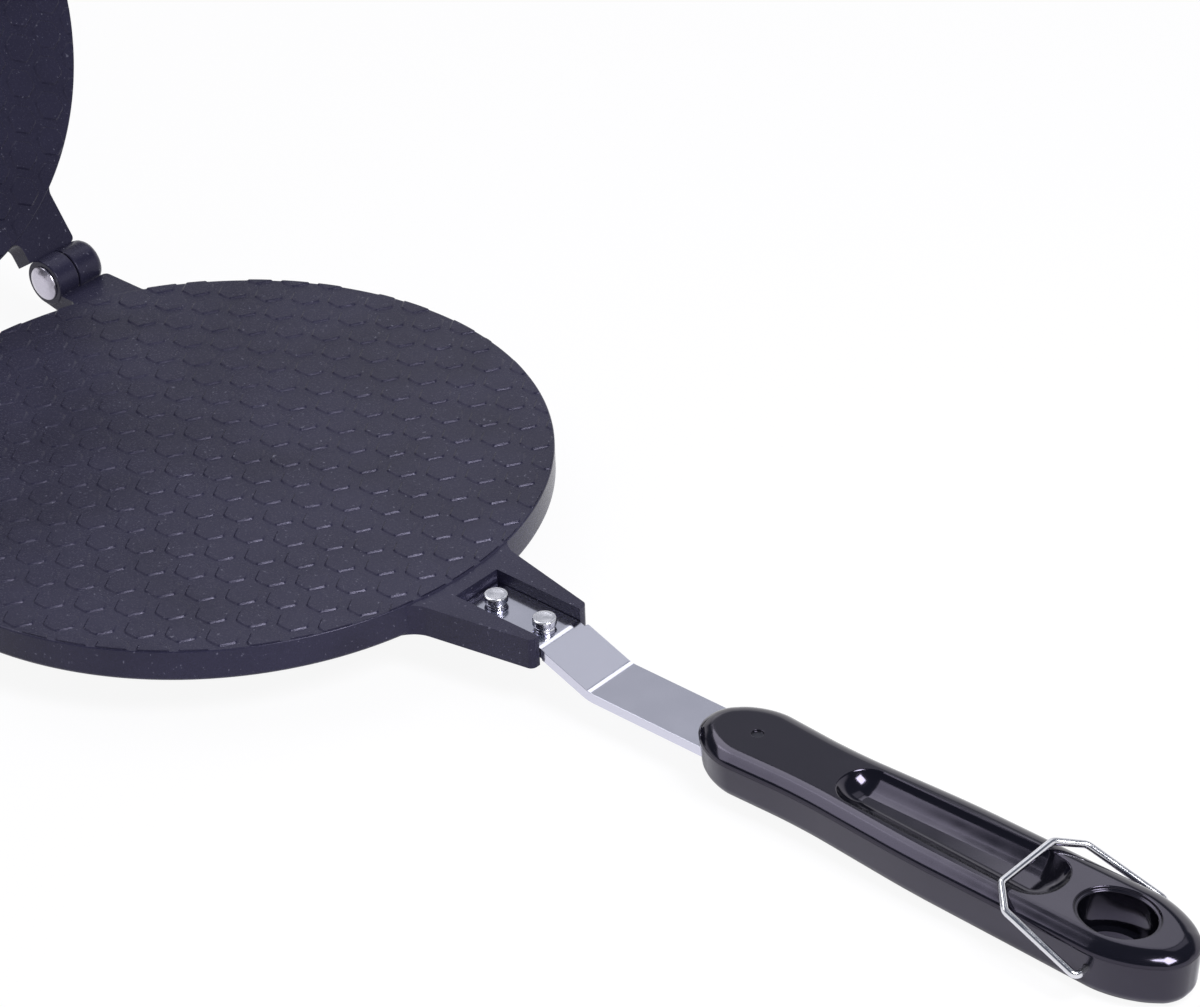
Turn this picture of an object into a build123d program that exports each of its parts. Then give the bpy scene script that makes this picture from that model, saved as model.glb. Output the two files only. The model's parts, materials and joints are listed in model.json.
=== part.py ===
from build123d import *
from math import asin, atan2, cos, degrees, radians, sqrt
import os

# Waffle cone pan: two hinged cast plates with honeycomb faces, each on a bent steel strip and a moulded grip.
# Origin: centre of the lower plate's underside. +X runs to the grips, +Y to the right hinge, +Z is up.
# The lower half lies flat and the upper half stands open, leaning back past upright.
# Both halves are the same parts: the upper one is the lower one turned over and swung open.

# Plate casting
plate_radius = 100.0
plate_thickness = 10.0
plate_edge_chamfer = 1.4

# Honeycomb face: six-sided pads with sloping walls that meet in grooves
pad_pitch = 11.6
pad_top_width = 8.6
pad_height = 0.45
pattern_border = 0.4
pattern_shift_x = -1.0
pattern_shift_y = 0.75

# Hinge: one arm with one knuckle at each side of a plate, closed over a gap for the batter
hinge_setback = 9.1
closed_gap = 1.8
opening_angle = 124.8
knuckle_radius = 7.4
knuckle_end_chamfer = 2.2
arm_inner_y = 35.4
arm_outer_y = 54.2
arm_thickness = 7.6
arm_relief = 0.6
arm_root_fillet = 2.5
knuckle_split_y = 43.6
knuckle_gap = 0.4
knuckle_web_overlap = 2.0

# Hinge pins, with a low bevelled head at one end and peened at the other
pin_radius = 3.0
pin_clearance = 0.05
pin_head_radius = 5.5
pin_head_height = 1.6
pin_head_rim = 0.4
pin_head_flat_radius = 2.4
pin_tail_radius = 4.2
pin_tail_height = 0.9
pin_end_play = 0.1

# Yoke: two prongs and a floor that carry the handle strip
yoke_length = 35.8
yoke_drop = 0.4
yoke_root_half_width = 18.2
yoke_end_half_width = 11.4
yoke_root_fillet = 8.0
yoke_corner_fillet = 1.4
yoke_floor_setback = 2.4
slot_setback = 4.9
slot_clearance = 0.22

# Handle strip: flat steel with two bends, a tongue in the yoke and a shouldered tang in the grip
strip_width = 18.0
tongue_width = 16.4
strip_thickness = 3.0
strip_top_z = 5.65
strip_end_gap = 0.35
strip_shoulder_gap = 1.9
strip_bend_setback = 0.4
strip_bend_run = 18.2
strip_drop = 6.85
strip_bend_radius = 5.0
strip_corner_radius = 1.0
tang_length = 42.0
tang_clearance = 0.1

# Rivets through the strip and the yoke floor
rivet_setbacks = (12.2, 30.2)
rivet_shank_radius = 2.4
rivet_head_radius = 3.4
rivet_head_height = 3.4
rivet_head_chamfer = 0.4
rivet_foot_radius = 3.9
rivet_foot_depth = 1.5
rivet_clearance = 0.05

# Grip moulding: outline corners as distance from an end and half width, each rounded with its radius
grip_gap = 52.8
grip_length = 157.6
grip_nose_half_width = 4.4
grip_nose_radius = 9.0
grip_bulb_from_front = 9.8
grip_bulb_half_width = 14.3
grip_bulb_radius = 18.0
grip_waist_from_front = 40.0
grip_waist_half_width = 12.7
grip_waist_radius = 60.0
grip_palm_from_front = 78.0
grip_palm_half_width = 14.9
grip_palm_radius = 80.0
grip_heel_from_back = 12.9
grip_heel_half_width = 15.3
grip_heel_radius = 28.0
grip_tip_half_width = 5.3
grip_tip_radius = 9.0
grip_top_front_z = 4.6
grip_top_back_z = 2.6
grip_bottom_front_z = -9.3
grip_bottom_back_z = -13.9
grip_shoulder_fillet = 3.6
grip_lower_chamfer = 2.0

# Thumb channel in the top of the grip
channel_from_front = 46.5
channel_length = 70.7
channel_front_half_width = 7.6
channel_back_half_width = 9.4
channel_depth = 3.8

# Hanging hole through the back end of the grip
hang_hole_from_back = 23.3
hang_hole_half_length = 10.8
hang_hole_half_width = 8.6
hang_hole_step = 0.9
hang_hole_step_depth = 0.8

# Pin that holds the strip's tang in the grip
tang_pin_from_front = 17.3
tang_pin_radius = 1.6
tang_pin_recess = 0.5
tang_pin_length = 10.0
tang_pin_clearance = 0.05

# Wire bail that swings over the grip ends
bail_wire_radius = 1.05
bail_pivot_from_back = 21.9
bail_pivot_z = -4.7
bail_length = 31.4
bail_shoulder_reach = 24.9
bail_crossbar_half = 10.9
bail_shoulder_half = 17.45
bail_pivot_half = 19.5
bail_bend_radius = 2.6
bail_pivot_bend_radius = 1.6
bail_end_depth = 4.6
bail_hole_depth = 5.4
bail_clearance = 0.08
bail_rest_gap = 0.7

# Cutting shapes reach this far past the faces that they open
cut_margin = 1.0

# Places that follow from the sizes
pad_top_z = plate_thickness + pad_height
hinge_axis_z = pad_top_z + closed_gap / 2
hinge_reach = plate_radius + hinge_setback
arm_bottom_z = plate_thickness - arm_thickness
arm_end_x = -hinge_reach + knuckle_radius + arm_relief
yoke_top_z = plate_thickness - yoke_drop
yoke_end_x = plate_radius + yoke_length
slot_start_x = plate_radius + slot_setback
strip_bottom_z = strip_top_z - strip_thickness
strip_bend_start_x = yoke_end_x - strip_bend_setback
tang_top_z = strip_top_z - strip_drop
rivet_places = [plate_radius + setback for setback in rivet_setbacks]
grip_front_x = yoke_end_x + grip_gap
grip_back_x = grip_front_x + grip_length
grip_top_slope = degrees(asin((grip_top_front_z - grip_top_back_z) / grip_length))
tang_end_x = grip_front_x + tang_length
tang_pin_x = grip_front_x + tang_pin_from_front
hang_hole_x = grip_back_x - hang_hole_from_back
bail_pivot_x = grip_back_x - bail_pivot_from_back


def box_between(x0, x1, y0, y1, z0, z1):
    """A box from its two opposite corners."""
    block = Box(x1 - x0, y1 - y0, z1 - z0)
    return Pos((x0 + x1) / 2, (y0 + y1) / 2, (z0 + z1) / 2) * block


def rod_along_y(radius, y0, y1, x, z):
    """A round bar along Y between y0 and y1."""
    bar = Cylinder(radius, y1 - y0)
    return Pos(x, (y0 + y1) / 2, z) * Rot(90, 0, 0) * bar


def turned_over(shape):
    """The same shape in the upper half: turned about X over the closed plates, then swung open."""
    axis_x = Axis((0, 0, hinge_axis_z), (1, 0, 0))
    hinge = Axis((-hinge_reach, 0, hinge_axis_z), (0, -1, 0))
    return shape.rotate(axis_x, 180).rotate(hinge, opening_angle)


def pad_centres():
    """Places of the whole pads of the honeycomb that fit inside the rim."""
    column_step = pad_pitch * sqrt(3) / 2
    reach = plate_radius - pattern_border - pad_pitch / sqrt(3)
    columns = int(plate_radius / column_step) + 1
    rows = int(plate_radius / pad_pitch) + 1
    places = []
    for column in range(-columns, columns + 1):
        for row in range(-rows, rows + 1):
            x = pattern_shift_x + column * column_step
            y = pattern_shift_y + (row + 0.5 * (column % 2)) * pad_pitch
            if x * x + y * y < reach * reach:
                places.append((x, y))
    return places


def honeycomb():
    """All raised pads of one plate."""
    wall_angle = degrees(atan2((pad_pitch - pad_top_width) / 2, pad_height))
    outline = RegularPolygon(pad_pitch / sqrt(3), 6)
    pad = extrude(Pos(0, 0, plate_thickness) * outline, amount=pad_height, taper=wall_angle)
    return [Pos(x, y) * pad for x, y in pad_centres()]


def at_side(shape, side):
    """The shape at the right side of the plate, or mirrored to the left side."""
    return shape if side > 0 else shape.mirror(Plane.XZ)


def hinge_arms():
    """Two plain arms that stand out from the disc towards the hinge axis."""
    root_x = arm_root_fillet - sqrt(plate_radius ** 2 - arm_outer_y ** 2)
    arm = box_between(arm_end_x, root_x, arm_inner_y, arm_outer_y, arm_bottom_z, plate_thickness)
    return [arm, at_side(arm, -1)]


def knuckle_web(y0, y1):
    """Metal between a barrel and its arm, tangent to the barrel's underside."""
    barrel = Pos(-hinge_reach, hinge_axis_z) * Circle(knuckle_radius)
    arm_length = knuckle_web_overlap * 2
    arm_end = Pos(arm_end_x, plate_thickness - arm_thickness / 2) * Rectangle(arm_length, arm_thickness)
    below_top = Pos(-hinge_reach, plate_thickness - hinge_reach / 2) * Rectangle(hinge_reach, hinge_reach)
    side_view = make_hull(barrel.edges() + arm_end.edges()) & below_top
    return Pos(0, y1, 0) * extrude(Plane.XZ * side_view, amount=y1 - y0)


def knuckle(side, outer):
    """Knuckle at the outer or inner end of an arm. The outer one is bevelled where it ends."""
    half_gap = knuckle_gap / 2
    if outer:
        y0 = knuckle_split_y + half_gap
        barrel = rod_along_y(knuckle_radius, y0, arm_outer_y, -hinge_reach, hinge_axis_z)
        barrel = chamfer(barrel.edges().sort_by(Axis.Y)[-1], knuckle_end_chamfer)
        web = knuckle_web(y0, arm_outer_y - knuckle_end_chamfer)
    else:
        y1 = knuckle_split_y - half_gap
        barrel = rod_along_y(knuckle_radius, arm_inner_y, y1, -hinge_reach, hinge_axis_z)
        web = knuckle_web(arm_inner_y, y1)
    return at_side(barrel + web, side)


def pin_bores():
    """Bores for the two hinge pins."""
    radius = pin_radius + pin_clearance
    bore = rod_along_y(radius, arm_inner_y - pin_radius, arm_outer_y + pin_radius, -hinge_reach, hinge_axis_z)
    return [bore, at_side(bore, -1)]


def yoke_outline():
    """Plan view of the yoke, run into the disc so that the two fuse."""
    inside_x = plate_radius * 0.9
    slope = (yoke_end_half_width - yoke_root_half_width) / (yoke_end_x - plate_radius)
    inside_half = yoke_root_half_width + slope * (inside_x - plate_radius)
    corners = [
        (inside_x, -inside_half),
        (yoke_end_x, -yoke_end_half_width),
        (yoke_end_x, yoke_end_half_width),
        (inside_x, inside_half),
    ]
    return make_face(Polyline(*corners, close=True))


def plate():
    """One casting: disc, honeycomb, two hinge arms and the yoke."""
    disc_face = Circle(plate_radius)
    plan = extrude(yoke_outline(), amount=yoke_top_z) + extrude(disc_face, amount=yoke_top_z)
    roots = [
        edge
        for edge in plan.edges().filter_by(Axis.Z)
        if plate_radius * 0.9 < edge.center().X < plate_radius
    ]
    plan = fillet(roots, yoke_root_fillet)
    tips = [edge for edge in plan.edges().filter_by(Axis.Z) if edge.center().X > yoke_end_x - 0.1]
    plan = fillet(tips, yoke_corner_fillet)
    underside = plan.faces().sort_by(Axis.Z)[0]
    plan = chamfer(underside.outer_wire().edges(), plate_edge_chamfer)
    step = extrude(Pos(0, 0, yoke_top_z) * disc_face, amount=yoke_drop)
    casting = plan + step + hinge_arms()
    arm_roots = [
        edge
        for edge in casting.edges().filter_by(Axis.Z)
        if -plate_radius < edge.center().X < 0 and edge.center().Z > arm_bottom_z
    ]
    casting = fillet(arm_roots, arm_root_fillet)
    casting += [knuckle(1, False), knuckle(-1, True)]
    casting -= pin_bores()
    slot_half = tongue_width / 2 + slot_clearance
    past_end_x, past_top_z = yoke_end_x + cut_margin, yoke_top_z + cut_margin
    slot = box_between(slot_start_x, past_end_x, -slot_half, slot_half, strip_bottom_z, past_top_z)
    floor_end_x = yoke_end_x - yoke_floor_setback
    below = box_between(floor_end_x, past_end_x, -slot_half, slot_half, -cut_margin, past_top_z)
    casting -= slot
    casting -= below
    for x in rivet_places:
        casting -= rivet_hole(x)
    return casting + honeycomb()


def rivet_hole(x):
    """Hole through the yoke floor with a flare for the rivet's foot."""
    shank = Cylinder(rivet_shank_radius + rivet_clearance, strip_bottom_z * 3)
    flare = Cone(
        rivet_foot_radius + rivet_clearance,
        rivet_shank_radius + rivet_clearance,
        rivet_foot_depth,
        align=(Align.CENTER, Align.CENTER, Align.MIN),
    )
    return Pos(x, 0, 0) * (shank + flare)


def rivet(x):
    """Solid rivet: round head on the strip, flared foot flush with the underside."""
    low = (Align.CENTER, Align.CENTER, Align.MIN)
    foot = Cone(rivet_foot_radius, rivet_shank_radius, rivet_foot_depth, align=low)
    shank = Cylinder(rivet_shank_radius, strip_top_z, align=low)
    head = Cylinder(rivet_head_radius, rivet_head_height, align=low)
    head = chamfer(head.edges().sort_by(Axis.Z)[-1], rivet_head_chamfer)
    return Pos(x, 0, 0) * (foot + shank + Pos(0, 0, strip_top_z) * head)


def hinge_pin(side):
    """Pin through both knuckles of one hinge, its head on the inner side."""
    inner_y = arm_inner_y - pin_end_play
    outer_y = arm_outer_y + pin_end_play
    head_y = inner_y - pin_head_height
    tail_y = outer_y + pin_tail_height
    profile = Polyline(
        (0, tail_y),
        (pin_tail_radius - pin_tail_height, tail_y),
        (pin_tail_radius, outer_y),
        (pin_radius, outer_y),
        (pin_radius, inner_y),
        (pin_head_radius, inner_y),
        (pin_head_radius, inner_y - pin_head_rim),
        (pin_head_flat_radius, head_y),
        (0, head_y),
        close=True,
    )
    pin = revolve(make_face(profile), Axis.Y)
    return at_side(Pos(-hinge_reach, 0, hinge_axis_z) * pin, side)


def strip_plan():
    """Plan view of the strip: a tongue, then two shoulders to the full width."""
    start_x = slot_start_x + strip_end_gap
    shoulder_x = yoke_end_x + strip_shoulder_gap
    half = [
        (start_x, tongue_width / 2),
        (shoulder_x, tongue_width / 2),
        (shoulder_x, strip_width / 2),
        (tang_end_x, strip_width / 2),
    ]
    other = [(x, -y) for x, y in reversed(half)]
    face = make_face(Polyline(*half, *other, close=True))
    ends = face.vertices().filter_by(lambda corner: corner.X < start_x + 1 or corner.X > tang_end_x - 1)
    return fillet(ends, strip_corner_radius)


def strip():
    """Flat steel with two bends, from the yoke's slot into the grip."""
    line = FilletPolyline(
        (slot_start_x, strip_top_z),
        (strip_bend_start_x, strip_top_z),
        (strip_bend_start_x + strip_bend_run, tang_top_z),
        (tang_end_x + cut_margin, tang_top_z),
        radius=strip_bend_radius,
    )
    side_face = make_face(offset(line, strip_thickness, side=Side.RIGHT))
    bent = extrude(Plane.XZ * side_face, amount=strip_width, both=True)
    tall = strip_top_z + strip_drop + strip_thickness
    solid = bent & extrude(strip_plan(), amount=tall, both=True)
    rivet_cutter = Cylinder(rivet_shank_radius + rivet_clearance, strip_thickness * 3)
    pin_cutter = Cylinder(tang_pin_radius + tang_pin_clearance, strip_thickness * 3)
    cutters = [Pos(x, 0, strip_top_z) * rivet_cutter for x in rivet_places]
    cutters.append(Pos(tang_pin_x, 0, tang_top_z) * pin_cutter)
    return solid - cutters


def grip_outline():
    """Plan view of the grip from its front end: nose, bulb, waist, palm, heel and tip."""
    half = [
        (0, grip_nose_half_width),
        (grip_bulb_from_front, grip_bulb_half_width),
        (grip_waist_from_front, grip_waist_half_width),
        (grip_palm_from_front, grip_palm_half_width),
        (grip_length - grip_heel_from_back, grip_heel_half_width),
        (grip_length, grip_tip_half_width),
    ]
    radii = [
        grip_nose_radius,
        grip_bulb_radius,
        grip_waist_radius,
        grip_palm_radius,
        grip_heel_radius,
        grip_tip_radius,
    ]
    other = [(x, -y) for x, y in reversed(half)]
    return make_face(FilletPolyline(*half, *other, radius=radii + radii[::-1], close=True))


def grip_top_z(x):
    """Height of the grip's flat top at a place along X."""
    return grip_top_front_z + (grip_top_back_z - grip_top_front_z) * (x - grip_front_x) / grip_length


def on_grip_top(shape):
    """The shape carried from a level frame at the grip's front end to the grip's sloping top."""
    return Pos(grip_front_x, 0, grip_top_front_z) * Rot(0, grip_top_slope, 0) * shape


def grip_body():
    """The moulding before its channel and holes: a column under the sloping top, cut by the lower plane."""
    tall = 2 * (grip_top_front_z - grip_bottom_back_z)
    column = extrude(grip_outline(), amount=-tall)
    column = fillet(column.faces().sort_by(Axis.Z)[-1].edges(), grip_shoulder_fillet)
    side_view = make_face(
        Polyline(
            (grip_front_x - cut_margin, grip_bottom_front_z),
            (grip_back_x + cut_margin, grip_bottom_back_z),
            (grip_back_x + cut_margin, -tall * 2),
            (grip_front_x - cut_margin, -tall * 2),
            close=True,
        )
    )
    body = on_grip_top(column) - extrude(Plane.XZ * side_view, amount=grip_heel_half_width * 2, both=True)
    return chamfer(body.faces().sort_by(Axis.Z)[0].edges(), grip_lower_chamfer)


def channel_pocket():
    """Cutter for the channel: two balls of different size and the cone that is tangent to both."""
    front_x = channel_from_front + channel_front_half_width
    back_x = channel_from_front + channel_length - channel_back_half_width
    front_ball = (channel_front_half_width ** 2 + channel_depth ** 2) / (2 * channel_depth)
    back_ball = (channel_back_half_width ** 2 + channel_depth ** 2) / (2 * channel_depth)
    rise = back_ball - front_ball
    length = sqrt((back_x - front_x) ** 2 + rise ** 2)
    circles = Circle(front_ball).edges() + (Pos(length, 0) * Circle(back_ball)).edges()
    half = make_hull(circles) & (Pos(length / 2, back_ball) * Rectangle(4 * length, 2 * back_ball))
    tilt = Rot(0, -degrees(asin(rise / length)), 0)
    return on_grip_top(Pos(front_x, 0, front_ball - channel_depth) * tilt * revolve(half, Axis.X))


def grip():
    """Grip moulding with thumb channel, hanging hole, tang slot, pin hole and bail holes."""
    tall = 2 * (grip_top_front_z - grip_bottom_back_z)
    hang_hole = Pos(hang_hole_x, 0) * Ellipse(hang_hole_half_length, hang_hole_half_width)
    rim = Pos(hang_hole_x, 0) * Ellipse(
        hang_hole_half_length + hang_hole_step, hang_hole_half_width + hang_hole_step
    )
    rim_z = grip_top_z(hang_hole_x) - hang_hole_step_depth
    slot_half = strip_width / 2 + tang_clearance
    slot_end_x = tang_end_x + tang_clearance
    slot_low_z = tang_top_z - strip_thickness - tang_clearance
    slot_high_z = tang_top_z + tang_clearance
    pin_top_z = grip_top_z(tang_pin_x)
    pin_low_z = pin_top_z - tang_pin_recess - tang_pin_length - tang_pin_clearance
    pin_hole = Cylinder(tang_pin_radius + tang_pin_clearance, tall, align=(Align.CENTER, Align.CENTER, Align.MIN))
    bail_hole_radius = bail_wire_radius + bail_clearance
    inner_y = grip_heel_half_width - bail_hole_depth
    outer_y = grip_heel_half_width + bail_hole_depth
    cutters = [
        channel_pocket(),
        extrude(hang_hole, amount=tall, both=True),
        Pos(0, 0, rim_z) * extrude(rim, amount=tall),
        box_between(grip_front_x - cut_margin, slot_end_x, -slot_half, slot_half, slot_low_z, slot_high_z),
        Pos(tang_pin_x, 0, pin_low_z) * pin_hole,
        rod_along_y(bail_hole_radius, inner_y, outer_y, bail_pivot_x, bail_pivot_z),
        rod_along_y(bail_hole_radius, -outer_y, -inner_y, bail_pivot_x, bail_pivot_z),
    ]
    return grip_body() - cutters


def tang_pin():
    """Pin down through the grip and the strip's tang, its end just below the grip's top."""
    top_z = grip_top_z(tang_pin_x) - tang_pin_recess
    pin = Cylinder(tang_pin_radius, tang_pin_length, align=(Align.CENTER, Align.CENTER, Align.MAX))
    return Pos(tang_pin_x, 0, top_z) * pin


def bail_rest_angle():
    """Slope of the bail when its crossbar lies on the grip's top."""
    height = (grip_top_z(bail_pivot_x) - bail_pivot_z) * cos(radians(grip_top_slope))
    return degrees(asin((height + bail_wire_radius + bail_rest_gap) / bail_length)) + grip_top_slope


def bail():
    """Bent wire: two ends in the grip's side holes, two legs and a crossbar."""
    end_y = grip_heel_half_width - bail_end_depth
    half = [
        (0, end_y),
        (0, bail_pivot_half),
        (-bail_shoulder_reach, bail_shoulder_half),
        (-bail_length, bail_crossbar_half),
    ]
    other = [(x, -y) for x, y in reversed(half)]
    radii = [
        bail_pivot_bend_radius,
        bail_bend_radius,
        bail_bend_radius,
        bail_bend_radius,
        bail_bend_radius,
        bail_pivot_bend_radius,
    ]
    path = FilletPolyline(*half, *other, radius=radii)
    section = Plane(origin=path @ 0, z_dir=path % 0) * Circle(bail_wire_radius)
    wire = sweep(section, path=path)
    return Pos(bail_pivot_x, 0, bail_pivot_z) * Rot(0, bail_rest_angle(), 0) * wire


def main():
    """Write one STEP file for each piece."""
    os.makedirs("parts", exist_ok=True)
    casting = plate()
    steel_strip = strip()
    moulding = grip()
    pieces = {
        "lower_plate": casting,
        "upper_plate": turned_over(casting),
        "lower_handle_strip": steel_strip,
        "upper_handle_strip": turned_over(steel_strip),
        "lower_grip": moulding,
        "upper_grip": turned_over(moulding),
        "lower_tang_pin": tang_pin(),
        "upper_tang_pin": turned_over(tang_pin()),
        "hinge_pin_right": hinge_pin(1),
        "hinge_pin_left": hinge_pin(-1),
        "locking_bail": bail(),
    }
    for place, x in zip(("inner", "outer"), rivet_places):
        pieces["lower_" + place + "_rivet"] = rivet(x)
        pieces["upper_" + place + "_rivet"] = turned_over(rivet(x))
    for name, shape in pieces.items():
        export_step(shape, "parts/" + name + ".step")
    print("bail rests at", round(bail_rest_angle(), 2), "degrees")


main()
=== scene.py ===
"""Looks of a folding waffle cone pan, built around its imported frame.

The pan has two coated aluminium plates with honeycomb faces, joined by pinned knuckles. Each plate carries
a bent steel strip and a glossy moulded grip, and a bent wire on the lower grip locks the two together. The
upper half is made of the same pieces as the lower one, turned over and swung open about the hinge.

The pan's sizes are in millimetres and its angles in degrees, in the lower half's place. Each finished mesh is
brought into the scene in metres.
"""

import json
import logging
import math
import sys
from dataclasses import dataclass
from enum import Enum
from typing import Any

import bmesh
import bpy
from mathutils import Matrix, Vector

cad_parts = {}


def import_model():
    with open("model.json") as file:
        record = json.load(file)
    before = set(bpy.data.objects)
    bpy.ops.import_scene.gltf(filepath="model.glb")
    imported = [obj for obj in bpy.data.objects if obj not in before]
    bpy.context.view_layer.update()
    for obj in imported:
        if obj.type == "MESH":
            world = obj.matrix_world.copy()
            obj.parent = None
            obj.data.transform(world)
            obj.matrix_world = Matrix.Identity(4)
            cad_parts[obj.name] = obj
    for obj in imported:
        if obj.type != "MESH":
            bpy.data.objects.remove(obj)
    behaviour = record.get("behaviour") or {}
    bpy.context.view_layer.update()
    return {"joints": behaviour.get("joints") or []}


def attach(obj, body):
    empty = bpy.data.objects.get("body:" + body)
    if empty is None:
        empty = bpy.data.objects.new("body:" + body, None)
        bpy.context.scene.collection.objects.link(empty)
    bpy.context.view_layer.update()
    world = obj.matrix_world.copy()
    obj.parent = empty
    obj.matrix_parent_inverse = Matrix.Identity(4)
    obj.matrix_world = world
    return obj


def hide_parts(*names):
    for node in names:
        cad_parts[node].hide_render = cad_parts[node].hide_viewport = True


MM = 0.001
# Vertices closer than this are welded, in millimetres
WELD = 0.0005
# After a cut, vertices closer than this are welded, in millimetres
CUT_WELD = 0.002
# Places closer than this count as the same when edges are picked, in millimetres
NEAR = 0.01
# Faces that meet at a sharper angle than this keep a crisp edge in the shading, in degrees
CREASE = 28.0
# Most of a noise pattern lies between these values
NOISE_LOW, NOISE_HIGH = 0.3, 0.7
# Segments round a rivet or a pin
PIN_STEPS = 56
LOG = logging.getLogger("waffle_cone_pan")


class Side(Enum):
    """Sides of the pan, seen from the ends of the grips."""

    RIGHT = 1
    LEFT = -1


@dataclass(frozen=True)
class Half:
    """One half of the pan, or its locking wire.

    Attributes:
        name: start of its pieces' names.
        body: the frame's body that its pieces ride on.
        place: carries a mesh from the lower half's place to this half's, in metres.
    """

    name: str
    body: str
    place: Matrix


def linear(hex_colour: str) -> tuple[float, float, float, float]:
    """Turns a colour written as sRGB hex into linear light.

    Args:
        hex_colour: six hex digits after a hash.

    Returns:
        Red, green, blue and an alpha of 1.
    """
    digits = hex_colour.lstrip("#")
    shares = [int(digits[i : i + 2], 16) / 255 for i in (0, 2, 4)]
    light = [c / 12.92 if c <= 0.04045 else ((c + 0.055) / 1.055) ** 2.4 for c in shares]
    return (*light, 1.0)


def add_node(
    tree: bpy.types.NodeTree,
    kind: str,
    inputs: dict[str | int, object] | None = None,
    **settings: object,
) -> bpy.types.Node:
    """Adds a node with its settings, its values and its links.

    Args:
        tree: the node tree to add to.
        kind: the node's type name.
        inputs: for each input, a value or an output socket to link it to.
        **settings: properties of the node.

    Returns:
        The new node.
    """
    node = tree.nodes.new(kind)
    for name, value in settings.items():
        setattr(node, name, value)
    for key, value in (inputs or {}).items():
        if isinstance(value, bpy.types.NodeSocket):
            tree.links.new(value, node.inputs[key])
        else:
            node.inputs[key].default_value = value
    return node


def add_piece(
    shape: bmesh.types.BMesh,
    name: str,
    half: Half,
    material: bpy.types.Material,
    node: str,
) -> bpy.types.Object:
    """Turns a mesh in millimetres into a piece of the pan that stands for a node of the frame.

    Args:
        shape: the mesh, in the lower half's place; it is freed.
        name: the piece's name.
        half: the half that it belongs to.
        material: its finish.
        node: the node that it replaces.

    Returns:
        The new object.
    """
    bmesh.ops.remove_doubles(shape, verts=shape.verts, dist=WELD)
    bmesh.ops.recalc_face_normals(shape, faces=shape.faces)
    bmesh.ops.scale(shape, vec=(MM, MM, MM), verts=shape.verts)
    bmesh.ops.transform(shape, matrix=half.place, verts=shape.verts)
    mesh = bpy.data.meshes.new(name)
    shape.to_mesh(mesh)
    shape.free()
    mesh.shade_smooth()
    mesh.set_sharp_from_angle(angle=math.radians(CREASE))
    mesh.materials.append(material)
    piece = bpy.data.objects.new(name, mesh)
    bpy.context.scene.collection.objects.link(piece)
    shading = piece.modifiers.new("even shading", "WEIGHTED_NORMAL")
    shading.keep_sharp = True
    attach(piece, half.body)
    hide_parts(node)
    LOG.info("%s: %d faces", name, len(mesh.polygons))
    return piece


def gather(shapes: list[bmesh.types.BMesh]) -> bmesh.types.BMesh:
    """Joins meshes into one.

    Args:
        shapes: the meshes to join; they are freed.

    Returns:
        The joined mesh.
    """
    whole = bmesh.new()
    scratch = bpy.data.meshes.new("scratch")
    for shape in shapes:
        shape.to_mesh(scratch)
        shape.free()
        whole.from_mesh(scratch)
    bpy.data.meshes.remove(scratch)
    return whole


def to_side(shape: bmesh.types.BMesh, side: Side) -> bmesh.types.BMesh:
    """Mirrors a mesh of the right-hand side to the left where that is asked for.

    Args:
        shape: the mesh, on the right-hand side.
        side: the side that it is for.

    Returns:
        The same mesh.
    """
    if side is Side.LEFT:
        bmesh.ops.scale(shape, vec=(1.0, -1.0, 1.0), verts=shape.verts)
        bmesh.ops.reverse_faces(shape, faces=shape.faces)
    return shape


def corner_at(shape: bmesh.types.BMesh, place: Vector) -> bmesh.types.BMVert:
    """The vertex nearest to a place."""
    return min(shape.verts, key=lambda vert: (vert.co - place).length)


def round_corner(shape: bmesh.types.BMesh, place: Vector, radius: float, steps: int) -> None:
    """Rounds one corner of a flat face with an arc that is tangent to both of its sides.

    Args:
        shape: the mesh that holds the face.
        place: where the corner is.
        radius: of the arc, in millimetres.
        steps: segments of the arc.
    """
    corner = corner_at(shape, place)
    sides = [edge.other_vert(corner).co - corner.co for edge in corner.link_edges]
    turn = math.pi - sides[0].angle(sides[1])
    bmesh.ops.bevel(
        shape,
        geom=[corner],
        offset=radius * math.tan(turn / 2),
        offset_type="OFFSET",
        segments=steps,
        profile=0.5,
        affect="VERTICES",
        material=-1,
    )


def flat_face(corners: list[tuple[Vector, float, int]]) -> bmesh.types.BMesh:
    """A flat face with rounded corners.

    Args:
        corners: for each corner its place, and the radius and segments of its rounding. With a radius of 0 it
            stays sharp.

    Returns:
        A mesh with that one face.
    """
    shape = bmesh.new()
    shape.faces.new([shape.verts.new(place) for place, _, _ in corners])
    for place, radius, steps in corners:
        if radius > 0:
            round_corner(shape, place, radius, steps)
    return shape


def round_edges(shape: bmesh.types.BMesh, edges: list[bmesh.types.BMEdge], width: float, steps: int) -> None:
    """Rounds edges of a solid.

    Args:
        shape: the mesh.
        edges: the edges to round.
        width: how far the rounding reaches from each edge, in millimetres.
        steps: segments across it.
    """
    bmesh.ops.bevel(
        shape,
        geom=edges,
        offset=width,
        offset_type="OFFSET",
        segments=steps,
        profile=0.5,
        affect="EDGES",
        clamp_overlap=True,
        material=-1,
    )


def raise_faces(
    shape: bmesh.types.BMesh, faces: list[bmesh.types.BMFace], shift: Vector
) -> list[bmesh.types.BMFace]:
    """Extrudes faces by a shift.

    Args:
        shape: the mesh.
        faces: the faces to extrude together.
        shift: how far their far ends go.

    Returns:
        The faces at the far end.
    """
    grown = bmesh.ops.extrude_face_region(shape, geom=faces)["geom"]
    bmesh.ops.translate(shape, vec=shift, verts=[g for g in grown if isinstance(g, bmesh.types.BMVert)])
    return [g for g in grown if isinstance(g, bmesh.types.BMFace)]


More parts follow.
